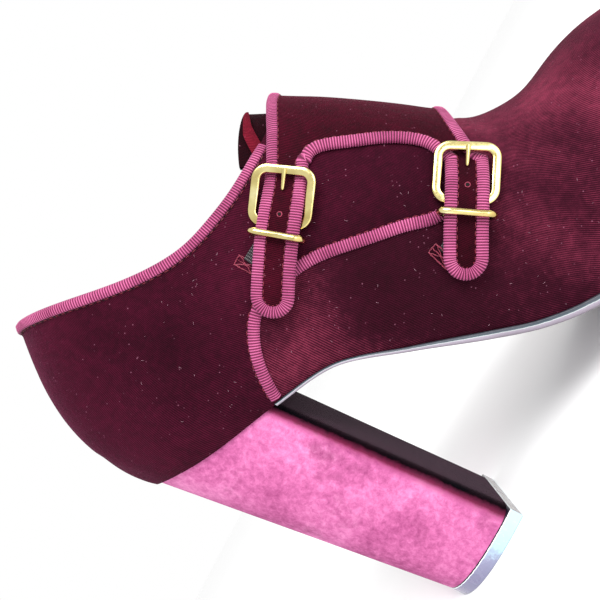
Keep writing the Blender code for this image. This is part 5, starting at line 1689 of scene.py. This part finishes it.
def build_quarter_ribbons():
    """Ribbon down the front edge of each quarter, from under the strap to the sole."""
    for name, side, last_place in (
        ("quarter_ribbon_outer", -1, QUARTER_RIBBON_END),
        ("quarter_ribbon_inner", 1, QUARTER_RIBBON_INNER_END),
    ):
        end = LAST.at(*last_place)[0]
        path = []
        for point in line_on_last(QUARTER_LINE, QUARTER_STEPS):
            sole = float(feather_height(point[0])[0])
            if point[0] < end[0] and point[2] > sole + GAP:
                path.append(on_side(point, side))
        bound = bind(name, name + "_stitches", path, QUARTER_STEP, -side)
        # Dark pile under the ribbon's edge, as painted shadow.
        shadow_tufts(name + "_shadow_tufts", *bound, RIBBON_OVERHANG - FRINGE_TUCK, FRINGE_LAY, 5)


# Tongue and insole

def build_tongue():
    """Tongue under the flap, lying inside the upper and rising past its throat."""
    rows = 90
    columns = 50
    alongs, arounds = zip(*TONGUE_SPREAD)
    table = []
    for i in range(rows):
        for k in range(columns):
            side = 2 * k / (columns - 1) - 1
            top = TONGUE_TOP - TONGUE_TOP_DROP * side**2
            along = TONGUE_START + (top - TONGUE_START) * i / (rows - 1)
            around = side * float(np.interp(along, alongs, arounds))
            slack = TONGUE_SLACK * (i / (rows - 1)) ** 2
            spot = LAST.at(along, around, -(WALL + TONGUE_GAP + slack))
            table.append(sheet_row(*spot, weave_at(along, around)))
    table = np.array(table)
    faces = grid_faces(rows, columns)
    made = shell("tongue_cloth", table, faces, 0.0, -TONGUE_SKIN, TONGUE_VELVET_PAINTED_SHADE)
    finish_piece(made, "tongue_velvet", "tongue")
    lining = shell("tongue_lining", table, faces, -TONGUE_SKIN - SLIVER, -TONGUE_THICKNESS, LINING)
    finish_piece(lining, "lining")
    # A strip along the tongue's fold, painted bright red as a painted highlight.
    fold = strip_on_last(
        "tongue_fold", TONGUE_FOLD_START, TONGUE_FOLD_STOP,
        -(WALL + TONGUE_GAP) + 0.1 * MM, 0.5 * MM, FOLD_VELVET_PAINTED_HIGHLIGHT,
    )
    finish_piece(fold, "tongue_velvet")


def strip_on_last(name, start_line, stop_line, lift, thickness, surface):
    """Thin sheet on the last between two lines of as many places."""
    rows = 24
    columns = 14
    knots = np.linspace(0, 1, len(start_line))
    table = []
    for i in range(rows):
        near, far = [sampled(i / (rows - 1), knots, line) for line in (start_line, stop_line)]
        for k in range(columns):
            t = k / (columns - 1)
            along, around = near * (1 - t) + far * t
            spot = LAST.at(along, around, lift + 0.5 * MM * math.sin(math.pi * t))
            table.append(sheet_row(*spot, weave_at(along, around)))
    return shell(name, np.array(table), grid_faces(rows, columns), thickness, 0.0, surface)


def tube(points, radius, spokes=6):
    """Rings of a thin thread through a list of points."""
    points = np.array(points)
    angles = [math.tau * k / spokes for k in range(spokes)]
    rings = []
    for point, ahead in zip(points, path_headings(points)):
        side = unit(np.cross(ahead, (0.0, 0.0, 1.0)))
        up = np.cross(side, ahead)
        rings.append([point + radius * (side * math.cos(a) + up * math.sin(a)) for a in angles])
    return rings


def build_tacks():
    """Box of ragged stitches that holds the end of each elastic tab."""
    chance = random.Random(7)
    for name, first, second, half in TACKS:
        start, out = LAST.at(*first, QUARTER_STEP + TACK_LIFT)
        stop, _ = LAST.at(*second, QUARTER_STEP + TACK_LIFT)
        ahead = stop - start
        side = np.cross(out, ahead)
        side *= half / np.linalg.norm(side)
        corners = [start - side, stop - side, stop + side, start + side]
        runs = list(zip(corners, corners[1:] + corners[:1]))
        runs += [(corners[0], corners[2]), (corners[1], corners[3])]
        runs += [(corners[0], corners[1]), (start, stop), (corners[2], corners[3])]
        box = Threads()
        for a, b in runs:
            line = []
            for k in range(TACK_POINTS + 1):
                point = a + (b - a) * k / TACK_POINTS
                point = point + side * chance.uniform(-0.10, 0.10)
                point = point + ahead * chance.uniform(-0.03, 0.03)
                rise = TACK_RISE * abs(math.sin(math.pi * k / 2 + 0.6))
                line.append(LAST.snap(point, QUARTER_STEP + TACK_LIFT + rise)[0])
            box.add(tube(line, TACK_RADIUS))
        box.finish(name, TACK_THREAD, "ribbon")


def build_holes():
    """Spare buckle hole in each strap, painted dark inside as painted shade, with a lighter ring at
    its rim.
    """
    for name, place, strap in (
        ("hole_back", HOLE_BACK, STRAP_1), ("hole_front", HOLE_FRONT, STRAP_2),
    ):
        point, _ = LAST.at(*place)
        distances = np.linspace(0, strap.length, STRAP_STEPS)
        distance = min(distances, key=lambda d: np.linalg.norm(strap.centre(d) - point))
        centre, out = LAST.snap(strap.centre(distance), strap.lift(distance) + STRAP_THICKNESS)
        _, along, across, _ = strap.frame(distance)
        rings = []
        for k in range(HOLE_SPOKES):
            angle = math.tau * k / HOLE_SPOKES
            ray = along * math.cos(angle) + across * math.sin(angle)
            ragged = 1 + 0.03 * math.sin(3 * angle) + 0.02 * math.sin(7 * angle + 1)
            rings.append([centre + ray * r * ragged * MM + out * h * MM for r, h in HOLE_PROFILE])
        vertices = [tuple(p) for ring in rings for p in ring]
        size = len(HOLE_PROFILE)
        faces = []
        for i in range(HOLE_SPOKES):
            for j in range(size - 1):
                a, b = i * size + j, (i + 1) % HOLE_SPOKES * size + j
                faces.append((a, b, b + 1, a + 1))
        faces.append(tuple(i * size + size - 1 for i in range(HOLE_SPOKES)))
        faces.append(tuple(i * size for i in reversed(range(HOLE_SPOKES))))
        weave = [(r / HOLE_PROFILE[0][0], 0.0) for _ in rings for r, _ in HOLE_PROFILE]
        finish_piece(mesh_piece(name, vertices, faces, HOLE, weave, 60), "flap_velvet")


def fine_stations(offset, start=None):
    """Cross sections of a sole piece from its back to its toe, closer together at round ends."""
    first = LAST.end(-1, offset) if start is None else start
    final = LAST.end(1, offset)
    ends = [MM * d for d in SOLE_END_STEPS]
    behind = [first + d for d in ends] if start is None else [first]
    ahead = [final - d for d in reversed(ends)]
    middle = list(np.arange(behind[-1] + 1.5 * MM, ahead[0] - 1.0 * MM, 1.6 * MM))
    return behind + middle + ahead


def footprint(places, offset):
    """Place, outer and inner width coordinates of the last at each cross section."""
    rows = []
    for x in places:
        z = float(feather_height(x)[0])
        rows.append((x, LAST.side(x, z, -1, offset), LAST.side(x, z, 1, offset)))
    return rows


def rounded_slab(name, rows, top_at, bottom_at, surface, soft):
    """Flat-lying solid over a footprint with its edges rounded, and UVs of length and height."""
    shares = [k / SLAB_ACROSS for k in range(1, SLAB_ACROSS)]
    rings = []
    for x, outer, inner in rows:
        top = float(top_at(x)[0])
        bottom = float(bottom_at(x)[0])
        tall = top - bottom
        inset = min(soft, 0.45 * (inner - outer))
        start, stop = outer + inset, inner - inset
        ring = [(x, outer + inset * i, bottom + tall * h) for h, i in SLAB_EDGE]
        ring += [(x, start + (stop - start) * share, bottom) for share in shares]
        ring += [(x, inner - inset * i, bottom + tall * h) for h, i in SLAB_EDGE[::-1]]
        ring += [(x, stop + (start - stop) * share, top) for share in shares]
        rings.append(ring)
    heights = [h for h, _ in SLAB_EDGE] + [0.0] * len(shares)
    heights += [h for h, _ in SLAB_EDGE[::-1]] + [1.0] * len(shares)
    return ring_sweep(name, rings, [x for x, _, _ in rows], heights, surface)


def build_soles():
    """Outsole from the breast to the toe, and the insole inside the wall."""
    rows = footprint(fine_stations(SOLE_MARGIN, BREAST_SETBACK + GAP), SOLE_MARGIN)
    made = rounded_slab(
        "outsole_leather", rows, lambda x: feather_height(x, -0.1 * MM), sole_under, SOLE, 0.5 * MM,
    )
    finish_piece(made, "sole_leather", "outsole")
    # The soft insole presses a little into the lining, so that no light shows past its edge.
    inset = INSOLE_PRESS - WALL
    rows = footprint(fine_stations(inset), inset)
    made = rounded_slab(
        "insole_lining", rows, lambda x: feather_height(x, INSOLE_THICKNESS), feather_height,
        LINING, 0.6 * MM,
    )
    finish_piece(made, "lining", "insole")


# Heel

def heel_ring(back, outer_side, inner_side):
    """Loop of points from the back along the outer side, over the breast and back."""
    ring = [back] + outer_side
    start = np.array(outer_side[-1])
    stop = np.array(inner_side[-1])
    ring += [tuple(start + (stop - start) * k / BREAST_CELLS) for k in range(1, BREAST_CELLS)]
    return softened(ring + inner_side[::-1])


def softened(ring):
    """Loop of points with the two corners beside the breast rounded off."""
    points = np.array(ring, float)
    soft = points.copy()
    count = len(points)
    for corner in (HEEL_STEPS, HEEL_STEPS + BREAST_CELLS):
        for k in range(-CORNER_CELLS, CORNER_CELLS + 1):
            at = (corner + k) % count
            away = np.linalg.norm(points[at] - points[corner])
            if away < BREAST_ROUNDING:
                pull = 0.5 * (1 - away / BREAST_ROUNDING) ** 2
                behind = points[(corner - CORNER_CELLS) % count] - points[corner]
                ahead = points[(corner + CORNER_CELLS) % count] - points[corner]
                behind *= min(1.0, BREAST_ROUNDING / np.linalg.norm(behind))
                ahead *= min(1.0, BREAST_ROUNDING / np.linalg.norm(ahead))
                soft[at] = points[at] + (behind + ahead) * pull * 0.5
    return [tuple(p) for p in soft]


def build_heel():
    """Covered block heel, from the top piece up to the seat."""
    bottom = TIP_HEIGHT + HEEL_CLEARANCE
    plan = d_outline(HEEL_SETBACK, HEEL_SETBACK + TIP_LENGTH, TIP_WIDTH / 2)
    low = heel_ring(
        (HEEL_SETBACK, 0.0, bottom),
        [(x, -y, bottom) for x, y in plan],
        [(x, y, bottom) for x, y in plan],
    )
    back = LAST.end(-1, -HEEL_INSET)
    reach = BREAST_SETBACK - back
    shares = [max(heel_share(k), 0.0001) for k in range(HEEL_STEPS + 1)]
    rows = footprint([back + reach * share for share in shares], -HEEL_INSET)
    heights = [float(feather_height(x, -HEEL_CLEARANCE)[0]) for x, _, _ in rows]
    high = heel_ring(
        (rows[0][0], 0.0, heights[0]),
        [(x, outer, z) for (x, outer, _), z in zip(rows[1:], heights[1:])],
        [(x, inner, z) for (x, _, inner), z in zip(rows[1:], heights[1:])],
    )
    vertices = []
    weave = []
    for level in range(HEEL_RINGS):
        share = level / (HEEL_RINGS - 1)
        ring = np.array(low) * (1 - share) + np.array(high) * share
        vertices += list(ring)
        weave += zip(travelled(ring), ring[:, 2])
    faces = closed_faces(HEEL_RINGS, len(low))
    made = mesh_piece("heel_cover", vertices, faces, HEEL_VELVET, weave, 50)
    finish_piece(made, "heel_velvet", "heel")


def build_heel_tip():
    """Top piece under the heel block, with its lower edge taken off."""
    half = TIP_WIDTH / 2
    front = HEEL_SETBACK + TIP_LENGTH
    vertices = []
    weave = []
    for z, inset in TIP_LEVELS:
        z *= MM
        inset *= MM
        plan = d_outline(HEEL_SETBACK + inset, front - inset, half - inset)
        ring = [(HEEL_SETBACK + inset, 0.0, z)] + [(x, -y, z) for x, y in plan]
        ring += [(x, y, z) for x, y in plan[::-1]]
        vertices += ring
        weave += [(x, z / TIP_HEIGHT) for x, _, _ in ring]
    faces = closed_faces(len(TIP_LEVELS), len(vertices) // len(TIP_LEVELS))
    made = mesh_piece("heel_top_piece", vertices, faces, TOP_PIECE, weave, 50)
    finish_piece(made, "top_piece", "heel_tip")


# Fittings

def flat_sweep(path, profile):
    """Rings of a profile carried round a closed flat path, across it and out of its plane."""
    points = np.array(path)
    ahead = units(np.roll(points, -1, axis=0) - np.roll(points, 1, axis=0))
    outward = np.column_stack([ahead[:, 1], -ahead[:, 0]])
    rings = []
    for point, out in zip(points, outward):
        rings.append([(*(point + out * across), height) for across, height in profile])
    return rings


def loop_mesh(name, rings, surface, turn=None):
    """Mesh of a loop of rings, turned if a matrix is given."""
    size = len(rings[0])
    vertices = np.array(rings).reshape(-1, 3)
    if turn is not None:
        vertices = vertices @ turn
    count = len(rings)
    faces = grid_faces(count, size, wrap=True)
    last = (count - 1) * size
    faces += [(last + j, j, (j + 1) % size, last + (j + 1) % size) for j in range(size)]
    weave = [(METAL_WEAVE * i, METAL_WEAVE * j) for i in range(count) for j in range(size)]
    return mesh_piece(name, vertices, faces, surface, weave, 60)


def round_profile(radius):
    """Points round a circle."""
    angles = [math.tau * k / ROUND_SPOKES for k in range(ROUND_SPOKES)]
    return [(radius * math.cos(angle), radius * math.sin(angle)) for angle in angles]


def joined(name, pieces):
    """One object from several."""
    shape = bmesh.new()
    for piece in pieces:
        shape.from_mesh(piece.data)
    mesh = bpy.data.meshes.new(name)
    shape.to_mesh(mesh)
    shape.free()
    for surface in pieces[0].data.materials:
        mesh.materials.append(surface)
    made = smoothed(name, mesh, 60)
    for piece in pieces:
        bpy.data.objects.remove(piece)
    return made


def build_buckle(name, strap):
    """Rounded frame with a short prong on its upper bar."""
    path = rounded_rectangle(
        BUCKLE_WIDTH - BUCKLE_BAR, BUCKLE_LENGTH - BUCKLE_BAR, BUCKLE_CORNER - BUCKLE_BAR / 2, 12,
    )
    half_bar = BUCKLE_BAR / 2
    half_tall = BUCKLE_THICKNESS / 2
    profile = []
    for degrees in range(0, 360, 18):
        angle = math.radians(degrees)
        c, s = math.cos(angle), math.sin(angle)
        profile.append((
            half_bar * math.copysign(abs(c) ** BUCKLE_BOWS[0], c),
            half_tall * math.copysign(abs(s) ** BUCKLE_BOWS[1], s),
        ))
    frame_loop = loop_mesh(name + "_frame", flat_sweep(path, profile), GOLD)
    top_bar = -(BUCKLE_LENGTH - BUCKLE_BAR) / 2
    rings = []
    reach = PRONG_LENGTH + BUCKLE_BAR / 2
    for k in range(PRONG_RINGS):
        share = k / (PRONG_RINGS - 1)
        radius = PRONG_RADIUS * (1 - PRONG_TAPER * share)
        if share > PRONG_ROUND_FROM:
            nose = (share - PRONG_ROUND_FROM) / (1 - PRONG_ROUND_FROM)
            radius *= math.sqrt(max(0.0, 1 - nose**2))
        y = top_bar + reach * share
        z = 0.5 * BUCKLE_THICKNESS - PRONG_DROP * share
        rings.append([(a, y, z + b) for a, b in round_profile(max(radius, 0.05 * MM))])
    along_weave = [METAL_WEAVE * k for k in range(PRONG_RINGS)]
    across_weave = [METAL_WEAVE * k for k in range(ROUND_SPOKES)]
    prong = ring_sweep(name + "_prong", rings, along_weave, across_weave, GOLD)
    made = joined(name + "_metal", [frame_loop, prong])

    high = LIFT_LOW + BOUND_THICKNESS + 3 * GAP + strap.top_rise
    low = LIFT_LOW + strap.bottom_rise
    upper_point, _, _, upper_out = strap.frame(strap.top_bar_at)
    lower_point, _, _, lower_out = strap.frame(strap.bottom_bar_at)
    upper_point = upper_point + upper_out * (high + BUCKLE_THICKNESS / 2)
    lower_point = lower_point + lower_out * (low + BUCKLE_THICKNESS / 2)
    along = unit(lower_point - upper_point)
    _, _, across, _ = strap.frame(strap.buckle_at)
    across = unit(across - along * np.dot(across, along))
    out = np.cross(along, across)
    placed(made, (upper_point + lower_point) / 2, askew(across, along), out)
    finish_piece(made, "gilt", name)


def build_keeper(name, strap):
    """Wire loop round the strap below the buckle."""
    point, along, across, out = strap.frame(strap.keeper_at)
    low = LIFT_KEEPER + strap.keeper_rise - GAP - KEEPER_WIRE / 2
    high = LIFT_KEEPER + strap.keeper_rise + BOUND_THICKNESS + 2 * GAP + KEEPER_WIRE / 2
    tall = high - low
    path = rounded_rectangle(KEEPER_WIDTH - KEEPER_WIRE, tall, KEEPER_CORNER * tall, 9)
    spaced = []
    for a, b in zip(path, path[1:] + path[:1]):
        cells = max(1, round(math.dist(a, b) / (1.0 * MM)))
        for k in range(cells):
            spaced.append((a[0] + (b[0] - a[0]) * k / cells, a[1] + (b[1] - a[1]) * k / cells))
    spaced = [(x, y + KEEPER_WAVE * math.sin(x / KEEPER_WIDTH * KEEPER_WAVES)) for x, y in spaced]
    stand = np.array(((1.0, 0.0, 0.0), (0.0, 0.0, 1.0), (0.0, -1.0, 0.0)))
    rings = flat_sweep(spaced, round_profile(KEEPER_WIRE / 2))
    made = loop_mesh(name + "_wire", rings, GOLD, stand)
    placed(made, point + out * (low + high) / 2, askew(across, along), out)
    finish_piece(made, "gilt", name)


def build_elastic(name, start_line, end_line, end_lift):
    """Elastic tab from under the buckle's lower bar to its stitched end on the wall."""
    rows = 30
    columns = 24
    start = points_on_last(start_line)
    stop = points_on_last(end_line)
    length = np.linalg.norm(stop[0] - start[0])
    width = np.linalg.norm(start[1] - start[0])
    table = []
    lifts = []
    for i in range(rows):
        share = i / (rows - 1)
        lift = LIFT_LOW + (end_lift - LIFT_LOW) * max(0.0, (share - 0.4) / 0.6)
        for k in range(columns):
            side = k / (columns - 1)
            near = start[0] * (1 - side) + start[1] * side
            far = stop[0] * (1 - side) + stop[1] * side
            spot = LAST.snap(near * (1 - share) + far * share)
            table.append(sheet_row(*spot, (share * length, side * width)))
            lifts.append(lift)
    lifts = np.array(lifts)
    faces = grid_faces(rows, columns)
    made = shell(
        name + "_web", np.array(table), faces, lifts + ELASTIC_THICKNESS, lifts, ELASTIC,
    )
    finish_piece(made, "elastic", name)


# Stage, light and camera

def build_stage():
    """Plain pale floor."""
    paint = Paint("pale_floor", Roughness=0.9, Specular_IOR_Level=0.2)
    grain = paint.noise(30.0, 3.0, 0.5)
    paint.wire("Base Color", paint.spread(grain, 0.96, 0.98))
    paint.wire("Normal", paint.bump(grain, 0.2 * MM, 0.1))
    mesh = bpy.data.meshes.new("floor")
    corners = ((-1, -1), (1, -1), (1, 1), (-1, 1))
    corners = [(FLOOR_REACH * x, FLOOR_REACH * y, 0.0) for x, y in corners]
    mesh.from_pydata(corners, [], [(0, 1, 2, 3)])
    mesh.materials.append(paint.made)
    floor = linked("floor", mesh)


def build_light():
    """White room light with two large soft boxes."""
    world = bpy.data.worlds.new("studio")
    bpy.context.scene.world = world
    world.use_nodes = True
    background = world.node_tree.nodes["Background"]
    background.inputs["Color"].default_value = (1.0, 1.0, 1.0, 1.0)
    background.inputs["Strength"].default_value = 1.0
    for name, place, size, power, tint in SOFT_BOXES:
        data = bpy.data.lights.new(name, "AREA")
        data.shape = "RECTANGLE"
        data.size, data.size_y = size
        data.energy = power
        data.color = tint
        made = linked(name, data)
        made.location = place
        aim = Vector(BOOT_MIDDLE) - Vector(place)
        made.rotation_euler = aim.to_track_quat("-Z", "Y").to_euler()
    bpy.context.scene.view_settings.view_transform = "Standard"


def build_camera():
    """Camera at the photograph's angle: level, looking across the boot and rolled."""
    roll = math.radians(CAMERA_ROLL)
    right = Vector((math.cos(roll), 0.0, -math.sin(roll)))
    up = Vector((math.sin(roll), 0.0, math.cos(roll)))
    back = Vector((0.0, -1.0, 0.0))
    data = bpy.data.cameras.new("camera")
    data.sensor_width = SENSOR_WIDTH
    data.lens = SENSOR_WIDTH * FOCAL_LENGTH / PHOTO_WIDTH
    data.shift_x = PHOTO_SHIFT / PHOTO_WIDTH
    data.clip_start = CLIP_START
    made = linked("camera", data)
    turn = Matrix((right, up, back)).transposed().to_4x4()
    made.matrix_world = Matrix.Translation(Vector(CAMERA_PLACE) + SHIFT) @ turn
    bpy.context.scene.camera = made


STRAP_1 = Strap(STRAP_1_LINE, STRAP_1_LENGTH, STRAP_1_BUCKLE, STRAP_1_KEEPER)
STRAP_2 = Strap(STRAP_2_LINE, STRAP_2_LENGTH, STRAP_2_BUCKLE, STRAP_2_KEEPER)

build_camera()
build_light()
build_stage()
build_upper()
bind("flap_ribbon", "flap_stitches", build_flap(), STRAP_THICKNESS, 1)
build_collar_ribbon()
build_quarter_ribbons()
build_tongue()
build_tacks()
build_holes()
build_lint()
build_soles()
build_heel()
build_heel_tip()
build_buckle("buckle_back", STRAP_1)
build_buckle("buckle_front", STRAP_2)
build_keeper("keeper_back", STRAP_1)
build_keeper("keeper_front", STRAP_2)
build_elastic("elastic_back", ELASTIC_1_START, ELASTIC_1_END, LIFT_LOW)
build_elastic("elastic_front", ELASTIC_2_START, ELASTIC_2_END, GAP)
